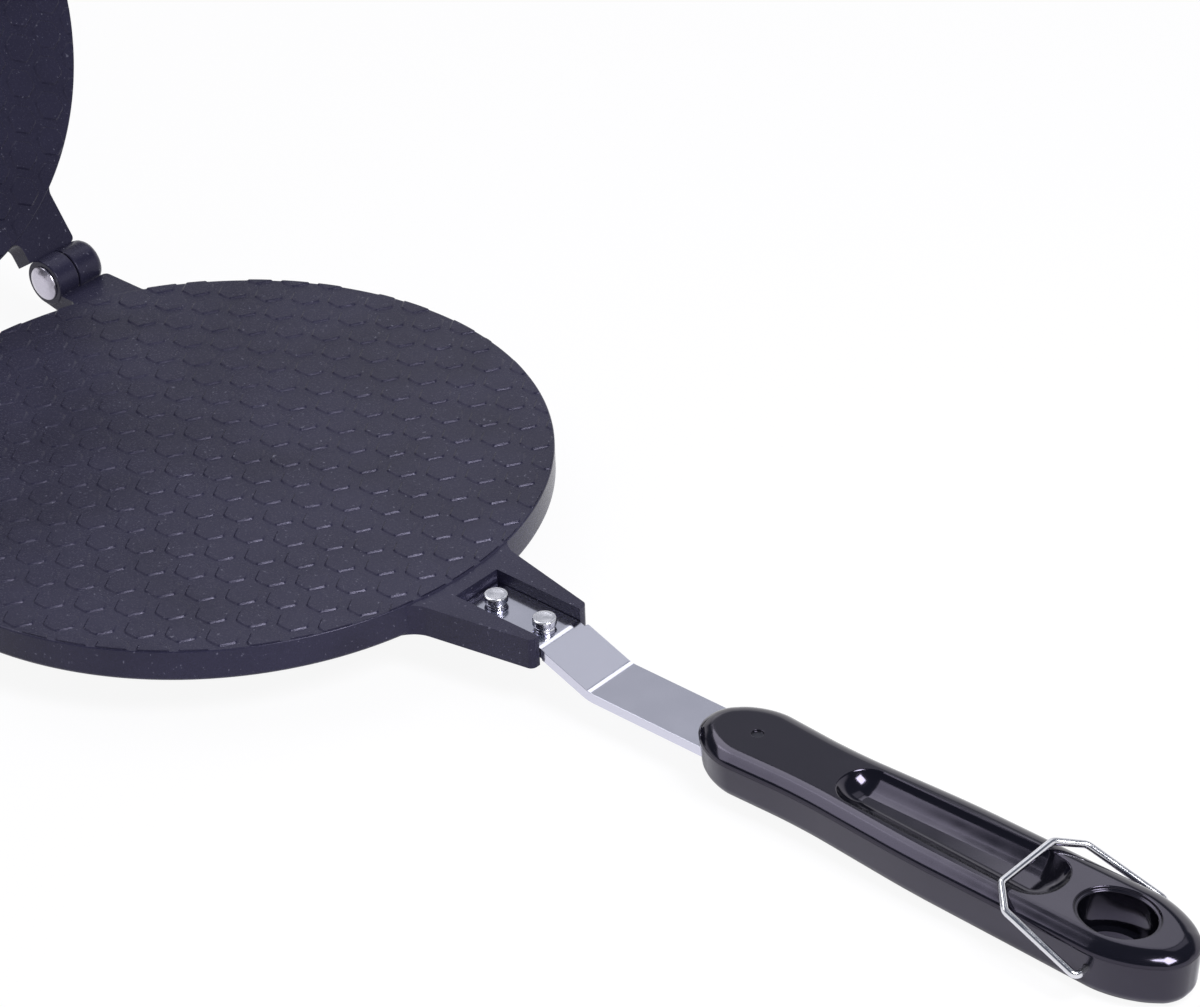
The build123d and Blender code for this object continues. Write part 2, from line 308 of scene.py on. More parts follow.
def step_in(shape: bmesh.types.BMesh, face: bmesh.types.BMFace, inward: float, out: float) -> None:
    """Shrinks a flat face by an even margin and lifts it, with a ring of new faces round it."""
    bmesh.ops.inset_individual(shape, faces=[face], thickness=inward, depth=out, use_even_offset=True)


def turned(corners: list[tuple[float, float, float]], steps: int, place: Matrix) -> bmesh.types.BMesh:
    """A round solid or ring, turned about an axis.

    Args:
        corners: the profile's corners as radius, height along the axis and rounding.
        steps: segments round the axis.
        place: carries the solid from the Z axis to its place.

    Returns:
        The closed mesh.
    """
    shape = flat_face([(Vector((radius, 0.0, height)), soft, 4) for radius, height, soft in corners])
    on_axis = [e for e in shape.edges if all(abs(vert.co.x) < WELD for vert in e.verts)]
    bmesh.ops.delete(shape, geom=shape.faces[:], context="FACES_ONLY")
    bmesh.ops.delete(shape, geom=on_axis, context="EDGES")
    bmesh.ops.spin(
        shape,
        geom=shape.verts[:] + shape.edges[:],
        cent=(0.0, 0.0, 0.0),
        axis=(0.0, 0.0, 1.0),
        angle=math.tau,
        steps=steps,
        use_merge=True,
    )
    bmesh.ops.remove_doubles(shape, verts=shape.verts, dist=WELD)
    bmesh.ops.recalc_face_normals(shape, faces=shape.faces)
    bmesh.ops.transform(shape, matrix=place, verts=shape.verts)
    return shape


def along_y(x: float, z: float) -> Matrix:
    """Matrix that lays the Z axis along +Y through a point of the side view."""
    return Matrix.Translation((x, 0.0, z)) @ Matrix.Rotation(-math.pi / 2, 4, "X")


def straight_bar(low: Vector, high: Vector) -> bmesh.types.BMesh:
    """A box from its two opposite corners.

    Args:
        low: the corner with the smallest coordinates.
        high: the corner with the largest ones.

    Returns:
        The closed mesh.
    """
    shape = bmesh.new()
    size = Matrix.Diagonal((*(high - low), 1.0))
    bmesh.ops.create_cube(shape, size=1.0, matrix=Matrix.Translation((low + high) / 2) @ size)
    return shape


def cut(body: bmesh.types.BMesh, cutters: list[bmesh.types.BMesh]) -> bmesh.types.BMesh:
    """Cuts closed meshes out of a closed mesh.

    Args:
        body: the solid; it is freed.
        cutters: the solids to take away, one after the other; they are freed.

    Returns:
        The cut solid.
    """
    scratch = []
    for number, shape in enumerate([body, *cutters]):
        bmesh.ops.remove_doubles(shape, verts=shape.verts, dist=WELD)
        bmesh.ops.recalc_face_normals(shape, faces=shape.faces)
        mesh = bpy.data.meshes.new(f"cutting_{number}")
        shape.to_mesh(mesh)
        shape.free()
        scratch.append(bpy.data.objects.new(mesh.name, mesh))
        bpy.context.scene.collection.objects.link(scratch[-1])
    for tool in scratch[1:]:
        step = scratch[0].modifiers.new(tool.name, "BOOLEAN")
        step.operation = "DIFFERENCE"
        step.solver = "EXACT"
        step.object = tool
    graph = bpy.context.evaluated_depsgraph_get()
    result = bmesh.new()
    result.from_mesh(scratch[0].evaluated_get(graph).to_mesh())
    for used in scratch:
        mesh = used.data
        bpy.data.objects.remove(used)
        bpy.data.meshes.remove(mesh)
    return result


# Finishes


@dataclass(frozen=True)
class Finish:
    """A surface finish whose pattern stays with its half of the pan.

    Attributes:
        label: common name of the material and how its surface was made.
    """

    label: str

    def start(self, half: Half) -> tuple[bpy.types.Material, bpy.types.NodeTree, bpy.types.NodeSocket]:
        """Starts a material whose pattern is laid out in the lower half's place.

        Args:
            half: the half that it dresses.

        Returns:
            The material, its empty node tree and the coordinates for its patterns, in metres.
        """
        material = bpy.data.materials.new(f"{self.label} {half.name}")
        material.use_nodes = True
        tree = material.node_tree
        tree.nodes.clear()
        back = half.place.inverted()
        turned_back = add_node(
            tree,
            "ShaderNodeMapping",
            {
                "Vector": add_node(tree, "ShaderNodeTexCoord").outputs["Object"],
                "Location": back.to_translation(),
                "Rotation": back.to_euler(),
            },
        )
        return material, tree, turned_back.outputs["Vector"]


@dataclass(frozen=True)
class CoatedCasting(Finish):
    """Die-cast aluminium with a sprayed dark non-stick coat: satin sheen, fine grit and a few pale flecks."""

    label: str = "non-stick coated cast aluminium"
    coat: str = "#29283b"
    coat_thin: str = "#222132"
    fleck: str = "#777788"
    sheen: str = "#d8d4f2"
    grit_mm: float = 0.6
    grit_height_mm: float = 0.11
    grit_strength: float = 0.55
    cloud_mm: float = 30.0
    cloud_low: float = 0.35
    cloud_high: float = 0.65
    fleck_mm: float = 0.9
    fleck_low: float = 0.72
    fleck_high: float = 0.78
    fleck_share: float = 0.6
    smoothest: float = 0.18
    roughest: float = 0.31
    refraction: float = 1.38

    def build(self, half: Half) -> bpy.types.Material:
        """Makes the material. The grit is drawn about twice as coarse as the real one, so that it shows.

        Args:
            half: the half that it dresses.

        Returns:
            The material.
        """
        material, tree, place = self.start(half)
        grit = add_node(
            tree,
            "ShaderNodeTexNoise",
            {"Vector": place, "Scale": 1 / (self.grit_mm * MM), "Detail": 3.0, "Roughness": 0.65},
        )
        cloud = add_node(
            tree,
            "ShaderNodeTexNoise",
            {"Vector": place, "Scale": 1 / (self.cloud_mm * MM), "Detail": 2.0},
        )
        spots = add_node(
            tree,
            "ShaderNodeTexNoise",
            {"Vector": place, "Scale": 1 / (self.fleck_mm * MM), "Detail": 1.0, "Roughness": 0.4},
        )
        shade = add_node(
            tree,
            "ShaderNodeMapRange",
            {"Value": cloud.outputs["Fac"], "From Min": self.cloud_low, "From Max": self.cloud_high},
        )
        coat = add_node(
            tree,
            "ShaderNodeMix",
            {0: shade.outputs["Result"], 6: linear(self.coat_thin), 7: linear(self.coat)},
            data_type="RGBA",
        )
        flecks = add_node(
            tree,
            "ShaderNodeMapRange",
            {
                "Value": spots.outputs["Fac"],
                "From Min": self.fleck_low,
                "From Max": self.fleck_high,
                "To Max": self.fleck_share,
            },
        )
        colour = add_node(
            tree,
            "ShaderNodeMix",
            {0: flecks.outputs["Result"], 6: coat.outputs[2], 7: linear(self.fleck)},
            data_type="RGBA",
        )
        rough = add_node(
            tree,
            "ShaderNodeMapRange",
            {
                "Value": grit.outputs["Fac"],
                "From Min": NOISE_LOW,
                "From Max": NOISE_HIGH,
                "To Min": self.smoothest,
                "To Max": self.roughest,
            },
        )
        relief = add_node(
            tree,
            "ShaderNodeBump",
            {
                "Height": grit.outputs["Fac"],
                "Strength": self.grit_strength,
                "Distance": self.grit_height_mm * MM,
            },
        )
        shader = add_node(
            tree,
            "ShaderNodeBsdfPrincipled",
            {
                "Base Color": colour.outputs[2],
                "Roughness": rough.outputs["Result"],
                "Normal": relief.outputs["Normal"],
                "IOR": self.refraction,
                "Specular Tint": linear(self.sheen),
            },
        )
        add_node(tree, "ShaderNodeOutputMaterial", {"Surface": shader.outputs[0]})
        return material


@dataclass(frozen=True)
class RolledSteel(Finish):
    """Cold-rolled steel, nickel plated: a soft mirror with a faint grain along the rolling direction."""

    label: str = "plated rolled steel"
    metal: str = "#d0d0de"
    grain_mm: float = 0.4
    grain_length_mm: float = 24.0
    grain_height_mm: float = 0.03
    grain_strength: float = 0.1
    smear_mm: float = 9.0
    smoothest: float = 0.11
    roughest: float = 0.16

    def build(self, half: Half) -> bpy.types.Material:
        """Makes the material, with its grain along X.

        Args:
            half: the half that it dresses.

        Returns:
            The material.
        """
        material, tree, place = self.start(half)
        drawn_out = add_node(
            tree,
            "ShaderNodeMapping",
            {"Vector": place, "Scale": (self.grain_mm / self.grain_length_mm, 1.0, 1.0)},
        )
        grain = add_node(
            tree,
            "ShaderNodeTexNoise",
            {"Vector": drawn_out.outputs["Vector"], "Scale": 1 / (self.grain_mm * MM), "Detail": 2.0},
        )
        smear = add_node(
            tree,
            "ShaderNodeTexNoise",
            {"Vector": place, "Scale": 1 / (self.smear_mm * MM), "Detail": 2.0},
        )
        rough = add_node(
            tree,
            "ShaderNodeMapRange",
            {
                "Value": smear.outputs["Fac"],
                "From Min": NOISE_LOW,
                "From Max": NOISE_HIGH,
                "To Min": self.smoothest,
                "To Max": self.roughest,
            },
        )
        relief = add_node(
            tree,
            "ShaderNodeBump",
            {
                "Height": grain.outputs["Fac"],
                "Strength": self.grain_strength,
                "Distance": self.grain_height_mm * MM,
            },
        )
        shader = add_node(
            tree,
            "ShaderNodeBsdfPrincipled",
            {
                "Base Color": linear(self.metal),
                "Metallic": 1.0,
                "Roughness": rough.outputs["Result"],
                "Normal": relief.outputs["Normal"],
            },
        )
        add_node(tree, "ShaderNodeOutputMaterial", {"Surface": shader.outputs[0]})
        return material


@dataclass(frozen=True)
class StruckMetal(Finish):
    """Bright metal shaped by blows or dies: a mirror broken up by shallow dents."""

    label: str = "struck steel"
    metal: str = "#d2d2da"
    dent_mm: float = 2.2
    dent_depth_mm: float = 0.4
    dent_strength: float = 0.25
    roughness: float = 0.2
    smoother: float = 0.06
    rougher: float = 0.1

    def build(self, half: Half) -> bpy.types.Material:
        """Makes the material.

        Args:
            half: the half that it dresses.

        Returns:
            The material.
        """
        material, tree, place = self.start(half)
        dents = add_node(
            tree,
            "ShaderNodeTexNoise",
            {"Vector": place, "Scale": 1 / (self.dent_mm * MM), "Detail": 2.0, "Roughness": 0.45},
        )
        rough = add_node(
            tree,
            "ShaderNodeMapRange",
            {
                "Value": dents.outputs["Fac"],
                "From Min": NOISE_LOW,
                "From Max": NOISE_HIGH,
                "To Min": self.roughness - self.smoother,
                "To Max": self.roughness + self.rougher,
            },
        )
        relief = add_node(
            tree,
            "ShaderNodeBump",
            {
                "Height": dents.outputs["Fac"],
                "Strength": self.dent_strength,
                "Distance": self.dent_depth_mm * MM,
            },
        )
        shader = add_node(
            tree,
            "ShaderNodeBsdfPrincipled",
            {
                "Base Color": linear(self.metal),
                "Metallic": 1.0,
                "Roughness": rough.outputs["Result"],
                "Normal": relief.outputs["Normal"],
            },
        )
        add_node(tree, "ShaderNodeOutputMaterial", {"Surface": shader.outputs[0]})
        return material


@dataclass(frozen=True)
class MouldedPhenolic(Finish):
    """Black phenolic pressed in a polished mould: a deep gloss over a very slight waviness."""

    label: str = "black moulded phenolic"
    resin: str = "#0c0c12"
    sheen: str = "#ddd5f4"
    wave_mm: float = 9.0
    wave_height_mm: float = 0.3
    wave_strength: float = 0.06
    grain_mm: float = 0.5
    grain_height_mm: float = 0.02
    grain_strength: float = 0.03
    smoothest: float = 0.09
    roughest: float = 0.13
    refraction: float = 1.63

    def build(self, half: Half) -> bpy.types.Material:
        """Makes the material.

        Args:
            half: the half that it dresses.

        Returns:
            The material.
        """
        material, tree, place = self.start(half)
        wave = add_node(
            tree,
            "ShaderNodeTexNoise",
            {"Vector": place, "Scale": 1 / (self.wave_mm * MM), "Detail": 1.0},
        )
        grain = add_node(
            tree,
            "ShaderNodeTexNoise",
            {"Vector": place, "Scale": 1 / (self.grain_mm * MM), "Detail": 2.0},
        )
        rough = add_node(
            tree,
            "ShaderNodeMapRange",
            {
                "Value": wave.outputs["Fac"],
                "From Min": NOISE_LOW,
                "From Max": NOISE_HIGH,
                "To Min": self.smoothest,
                "To Max": self.roughest,
            },
        )
        swell = add_node(
            tree,
            "ShaderNodeBump",
            {
                "Height": wave.outputs["Fac"],
                "Strength": self.wave_strength,
                "Distance": self.wave_height_mm * MM,
            },
        )
        relief = add_node(
            tree,
            "ShaderNodeBump",
            {
                "Height": grain.outputs["Fac"],
                "Normal": swell.outputs["Normal"],
                "Strength": self.grain_strength,
                "Distance": self.grain_height_mm * MM,
            },
        )
        shader = add_node(
            tree,
            "ShaderNodeBsdfPrincipled",
            {
                "Base Color": linear(self.resin),
                "Roughness": rough.outputs["Result"],
                "Normal": relief.outputs["Normal"],
                "IOR": self.refraction,
                "Specular Tint": linear(self.sheen),
            },
        )
        add_node(tree, "ShaderNodeOutputMaterial", {"Surface": shader.outputs[0]})
        return material


# Pieces of the pan


@dataclass
class Plate:
    """One plate casting: a disc with a honeycomb face, two hinge arms with knuckles, and the strip's yoke."""

    radius: float = 99.99
    thickness: float = 10.0
    rim_steps: int = 240
    lower_round: float = 1.5
    rim_round: float = 0.5
    # Honeycomb pads
    pad_pitch: float = 11.58
    pad_foot_width: float = 9.2
    pad_height: float = 0.43
    pad_wall: float = 0.40
    pad_edge: float = 0.1
    pad_edge_drop: float = 0.06
    pad_sunk: float = 0.1
    pad_corner_radius: float = 0.95
    pad_rim_inset: float = 0.5
    rim_cuts: tuple[float, ...] = (-0.8, -0.27, 0.27, 0.8)
    pattern_shift_x: float = -1.04
    pattern_shift_y: float = 0.77
    # Hinge knuckles
    hinge_x: float = -109.1
    hinge_z: float = 11.35
    knuckle_radius: float = 7.4
    knuckle_end_round: float = 2.9
    knuckle_steps: int = 72
    knuckle_edge_round: float = 0.5
    knuckle_split: float = 43.6
    knuckle_gap: float = 0.4
    bore_radius: float = 3.06
    # Hinge arms, whose visible edges start about at the rim
    arm_inner_y: float = 35.4
    arm_outer_y: float = 54.2
    arm_bottom: float = 2.4
    arm_top: float = 9.3
    arm_end_x: float = -101.8
    arm_end_round: float = 1.7
    arm_inner_root: float = 3.0
    arm_outer_root: float = 4.0
    arm_inner_spread: float = 5.0
    arm_outer_spread: float = 6.0
    arm_foot_inset: float = 0.3
    arm_foot_depth: float = 4.0
    arm_lower_round: float = 0.9
    arm_upper_round: float = 0.7
    arm_clear: float = -0.05
    # Webs between arm and knuckle
    web_angles: tuple[float, float, float] = (-35.0, -60.0, -85.0)
    web_setback: float = 0.3
    web_reach: float = 1.5
    web_sink: float = 0.05
    web_lift: float = 0.02
    web_tuck: float = 0.1
    web_end_share: float = 0.6
    # Yoke, whose visible edges start just outside the rim
    yoke_top: float = 9.6
    yoke_tip_x: float = 135.8
    yoke_floor_tip_x: float = 133.4
    yoke_root_half: float = 18.2
    yoke_tip_half: float = 11.4
    yoke_root_round: float = 9.0
    yoke_tip_round: float = 1.8
    yoke_lower_round: float = 2.2
    yoke_upper_round: float = 0.5
    yoke_joint_inset: float = 1.6
    yoke_flare_run: float = 4.6
    yoke_flare_width: float = 9.0
    yoke_clear: float = 0.02
    slot_x: float = 104.9
    slot_half: float = 8.42
    slot_floor: float = 2.65
    slot_round: float = 0.25
    overlap: float = 0.012

    def disc(self) -> bmesh.types.BMesh:
        """The round body with its rounded edges.

        Returns:
            The closed mesh.
        """
        middle = self.thickness / 2
        shape = bmesh.new()
        bmesh.ops.create_cone(
            shape,
            cap_ends=True,
            segments=self.rim_steps,
            radius1=self.radius,
            radius2=self.radius,
            depth=self.thickness,
            matrix=Matrix.Translation((0.0, 0.0, middle)),
        )
        foot = [edge for edge in shape.edges if all(vert.co.z < middle for vert in edge.verts)]
        round_edges(shape, foot, self.lower_round, steps=5)
        rim = [edge for edge in shape.edges if all(vert.co.z > self.thickness - NEAR for vert in edge.verts)]
        round_edges(shape, rim, self.rim_round, steps=4)
        return shape

    def pad_centres(self) -> list[Vector]:
        """Centres of the pads that reach inside the rim, in a honeycomb with columns along Y.

        Returns:
            The centres at height 0.
        """
        column_step = self.pad_pitch * math.sqrt(3) / 2
        reach = self.radius + self.pad_foot_width / 3
        columns = int(self.radius / column_step) + 2
        rows = int(self.radius / self.pad_pitch) + 2
        lattice = [
            Vector(
                (
                    self.pattern_shift_x + column * column_step,
                    self.pattern_shift_y + (row + 0.5 * (column % 2)) * self.pad_pitch,
                    0.0,
                )
            )
            for column in range(-columns, columns + 1)
            for row in range(-rows, rows + 1)
        ]
        return [centre for centre in lattice if centre.length < reach]

    def pad(self) -> bmesh.types.BMesh:
        """One raised pad on the Z axis, with sloping walls and a softened top edge.

        Returns:
            The closed mesh.
        """
        foot = Matrix.Translation((0.0, 0.0, self.thickness - self.pad_sunk))
        shape = bmesh.new()
        bmesh.ops.create_circle(
            shape,
            cap_ends=True,
            radius=self.pad_foot_width / math.sqrt(3),
            segments=6,
            matrix=foot @ Matrix.Rotation(math.pi / 6, 4, "Z"),
        )
        for place in [vert.co.copy() for vert in shape.verts]:
            round_corner(shape, place, self.pad_corner_radius, steps=1)
        top = raise_faces(shape, shape.faces[:], Vector((0.0, 0.0, self.pad_sunk)))[0]
        bmesh.ops.recalc_face_normals(shape, faces=shape.faces)
        step_in(shape, top, self.pad_wall, self.pad_height - self.pad_edge_drop)
        step_in(shape, top, self.pad_edge, self.pad_edge_drop)
        return shape

    def clip_at_rim(self, pad: bmesh.types.BMesh, centre: Vector) -> None:
        """Cuts a pad off along the rim, with planes that touch the rim's circle.

        Args:
            pad: the pad in its place.
            centre: the pad's centre.
        """
        clip_radius = self.radius - self.pad_rim_inset
        spread = math.asin(self.pad_foot_width / 2 / self.radius)
        heading = math.atan2(centre.y, centre.x)
        for share in self.rim_cuts:
            angle = heading + share * spread
            outward = Vector((math.cos(angle), math.sin(angle), 0.0))
            sliced = bmesh.ops.bisect_plane(
                pad,
                geom=pad.verts[:] + pad.edges[:] + pad.faces[:],
                plane_co=outward * clip_radius,
                plane_no=outward,
                clear_outer=True,
            )
            rim = [g for g in sliced["geom_cut"] if isinstance(g, bmesh.types.BMEdge)]
            bmesh.ops.holes_fill(pad, edges=rim, sides=0)

    def honeycomb(self) -> list[bmesh.types.BMesh]:
        """Every pad in its place, those at the rim cut off along it.

        Returns:
            One mesh for each pad.
        """
        whole_reach = self.radius - self.pad_rim_inset - self.pad_foot_width / math.sqrt(3)
        master = self.pad()
        pads = []
        for centre in self.pad_centres():
            pad = master.copy()
            bmesh.ops.translate(pad, vec=centre, verts=pad.verts)
            if centre.length > whole_reach:
                self.clip_at_rim(pad, centre)
            pads.append(pad)
        master.free()
        return pads

    def rim_place(self, y: float, inset: float, height: float) -> Vector:
        """A place near the rim on the hinge side.

        Args:
            y: where the rim is met.
            inset: how far inside the rim the place lies.
            height: its height.

        Returns:
            The place.
        """
        x = -math.sqrt(self.radius**2 - y**2)
        share = (self.radius - inset) / self.radius
        return Vector((x * share, y * share, height))

    def arm(self, side: Side) -> bmesh.types.BMesh:
        """The plain arm between the rim and the knuckle, with rounded roots.

        Args:
            side: the hinge that it belongs to.

        Returns:
            The closed mesh.
        """
        low = self.arm_bottom
        inner_root = self.rim_place(self.arm_inner_y, 0.0, low)
        outer_root = self.rim_place(self.arm_outer_y, 0.0, low)
        inner_foot = self.arm_inner_y - self.arm_inner_spread
        outer_foot = self.arm_outer_y + self.arm_outer_spread
        shape = flat_face(
            [
                (Vector((self.arm_end_x, self.arm_inner_y, low)), 0.0, 0),
                (inner_root, self.arm_inner_root, 6),
                (self.rim_place(inner_foot, self.arm_foot_inset, low), 0.0, 0),
                (self.rim_place(inner_foot, self.arm_foot_depth, low), 0.0, 0),
                (self.rim_place(outer_foot, self.arm_foot_depth, low), 0.0, 0),
                (self.rim_place(outer_foot, self.arm_foot_inset, low), 0.0, 0),
                (outer_root, self.arm_outer_root, 8),
                (Vector((self.arm_end_x, self.arm_outer_y, low)), self.arm_end_round, 5),
            ]
        )
        raise_faces(shape, shape.faces[:], Vector((0.0, 0.0, self.arm_top - low)))
        clear = self.radius + self.arm_clear
        for level, width in ((low, self.arm_lower_round), (self.arm_top, self.arm_upper_round)):
            outside = [
                edge
                for edge in shape.edges
                if all(abs(vert.co.z - level) < NEAR and vert.co.xy.length > clear for vert in edge.verts)
            ]
            round_edges(shape, outside, width, steps=4)
        return to_side(shape, side)

    def knuckle(self, side: Side, outer: bool) -> list[bmesh.types.BMesh]:
        """A barrel on the hinge axis and the web that joins it to its arm.

        Args:
            side: the hinge that it belongs to.
            outer: whether it fills the outer share of the hinge.

        Returns:
            The two closed meshes.
        """
        y0 = self.knuckle_split + self.knuckle_gap / 2 if outer else self.arm_inner_y
        y1 = self.arm_outer_y if outer else self.knuckle_split - self.knuckle_gap / 2
        barrel = turned(
            [
                (self.bore_radius, y0, 0.0),
                (self.knuckle_radius, y0, self.knuckle_edge_round),
                (self.knuckle_radius, y1, self.knuckle_end_round if outer else self.knuckle_edge_round),
                (self.bore_radius, y1, 0.0),
            ],
            self.knuckle_steps,
            along_y(self.hinge_x, self.hinge_z),
        )
        start = y0 + self.web_setback
        axis = Vector((self.hinge_x, start, self.hinge_z))
        wall = (self.bore_radius + self.knuckle_radius) / 2
        inside = [
            axis + wall * Vector((math.cos(angle), 0.0, math.sin(angle)))
            for angle in map(math.radians, self.web_angles)
        ]
        corner = Vector((self.arm_end_x, start, self.arm_bottom + self.web_lift))
        to_axis = axis - corner
        lean = math.asin((self.knuckle_radius - self.web_sink) / to_axis.length)
        reach = math.cos(lean) * to_axis.length
        tangent = corner + Matrix.Rotation(-lean, 3, "Y") @ to_axis.normalized() * reach
        top = self.arm_top - self.web_sink
        points = [
            tangent,
            corner,
            corner + Vector((self.web_reach, 0.0, self.web_tuck)),
            Vector((self.arm_end_x + self.web_reach, start, top)),
            Vector((self.arm_end_x - self.web_reach, start, top)),
            *inside,
        ]
        web = flat_face([(point, 0.0, 0) for point in points])
        end = y1 - (self.knuckle_end_round * self.web_end_share if outer else self.web_setback)
        raise_faces(web, web.faces[:], Vector((0.0, end - start, 0.0)))
        return [to_side(barrel, side), to_side(web, side)]

    def yoke(self) -> bmesh.types.BMesh:
        """Two prongs and a floor round the strip's slot, flared where they meet the disc.

        Returns:
            The closed mesh.
        """
        slope = (self.yoke_tip_half - self.yoke_root_half) / (self.yoke_tip_x - self.radius)
        joint_x = self.radius - self.yoke_joint_inset
        joint_half = self.yoke_root_half + slope * (joint_x - self.radius)
        low = self.overlap
        shape = bmesh.new()
        right = [
            (joint_x - self.yoke_flare_run, joint_half + self.yoke_flare_width, low),
            (joint_x, joint_half, low),
            (self.yoke_tip_x, self.yoke_tip_half, low),
            (self.yoke_tip_x, self.slot_half, low),
            (self.yoke_floor_tip_x, self.slot_half, low),
            (self.slot_x, self.slot_half, low),
        ]
        left = [(x, -y, z) for x, y, z in reversed(right)]
        ring = [shape.verts.new(corner) for corner in right + left]
        shape.faces.new(ring)
        shape.faces.new([ring[7], ring[6], ring[5], ring[4]])
        for sign in (1.0, -1.0):
            root = Vector((joint_x, sign * joint_half, low))
            tip = Vector((self.yoke_tip_x, sign * self.yoke_tip_half, low))
            round_corner(shape, root, self.yoke_root_round, steps=10)
            round_corner(shape, tip, self.yoke_tip_round, steps=4)
        raised = raise_faces(shape, shape.faces[:], Vector((0.0, 0.0, self.slot_floor - low)))
        upper = max(raised, key=lambda face: face.calc_area())
        raise_faces(shape, [upper], Vector((0.0, 0.0, self.yoke_top - self.slot_floor)))
        bmesh.ops.recalc_face_normals(shape, faces=shape.faces)
        return shape

    def soften_yoke(self, shape: bmesh.types.BMesh) -> None:
        """Rounds the yoke's edges: a wide rounding underneath and a narrow one on top and in the slot.

        Args:
            shape: the yoke.
        """
        clear = self.radius + self.yoke_clear

        def outline(level: float, slot: bool) -> list[bmesh.types.BMEdge]:
            """Edges of the yoke at one level that lie outside the disc.

            Args:
                level: their height.
                slot: whether the slot's edges are wanted or the outer ones.

            Returns:
                The edges.
            """
            chosen = []
            for edge in shape.edges:
                ends = [vert.co for vert in edge.verts]
                inner = all(abs(abs(end.y) - self.slot_half) < NEAR for end in ends) or all(
                    abs(end.x - self.slot_x) < NEAR for end in ends
                )
                if all(abs(end.z - level) < NEAR and end.xy.length > clear for end in ends) and inner == slot:
                    chosen.append(edge)
            return chosen

        underneath = [
            edge
            for edge in outline(self.overlap, False)
            if max(abs(vert.co.y) for vert in edge.verts) > self.slot_half + NEAR
        ]
        round_edges(shape, underneath, self.yoke_lower_round, steps=5)
        round_edges(shape, outline(self.yoke_top, False), self.yoke_upper_round, steps=4)
        round_edges(shape, outline(self.yoke_top, True), self.slot_round, steps=2)

    def casting(self) -> bmesh.types.BMesh:
        """The whole casting.

        Returns:
            One mesh of closed shells that overlap a little.
        """
        yoke = self.yoke()
        self.soften_yoke(yoke)
        parts = [self.disc(), yoke, *self.honeycomb()]
        for side in Side:
            parts.append(self.arm(side))
            parts.extend(self.knuckle(side, outer=side is Side.LEFT))
        return gather(parts)


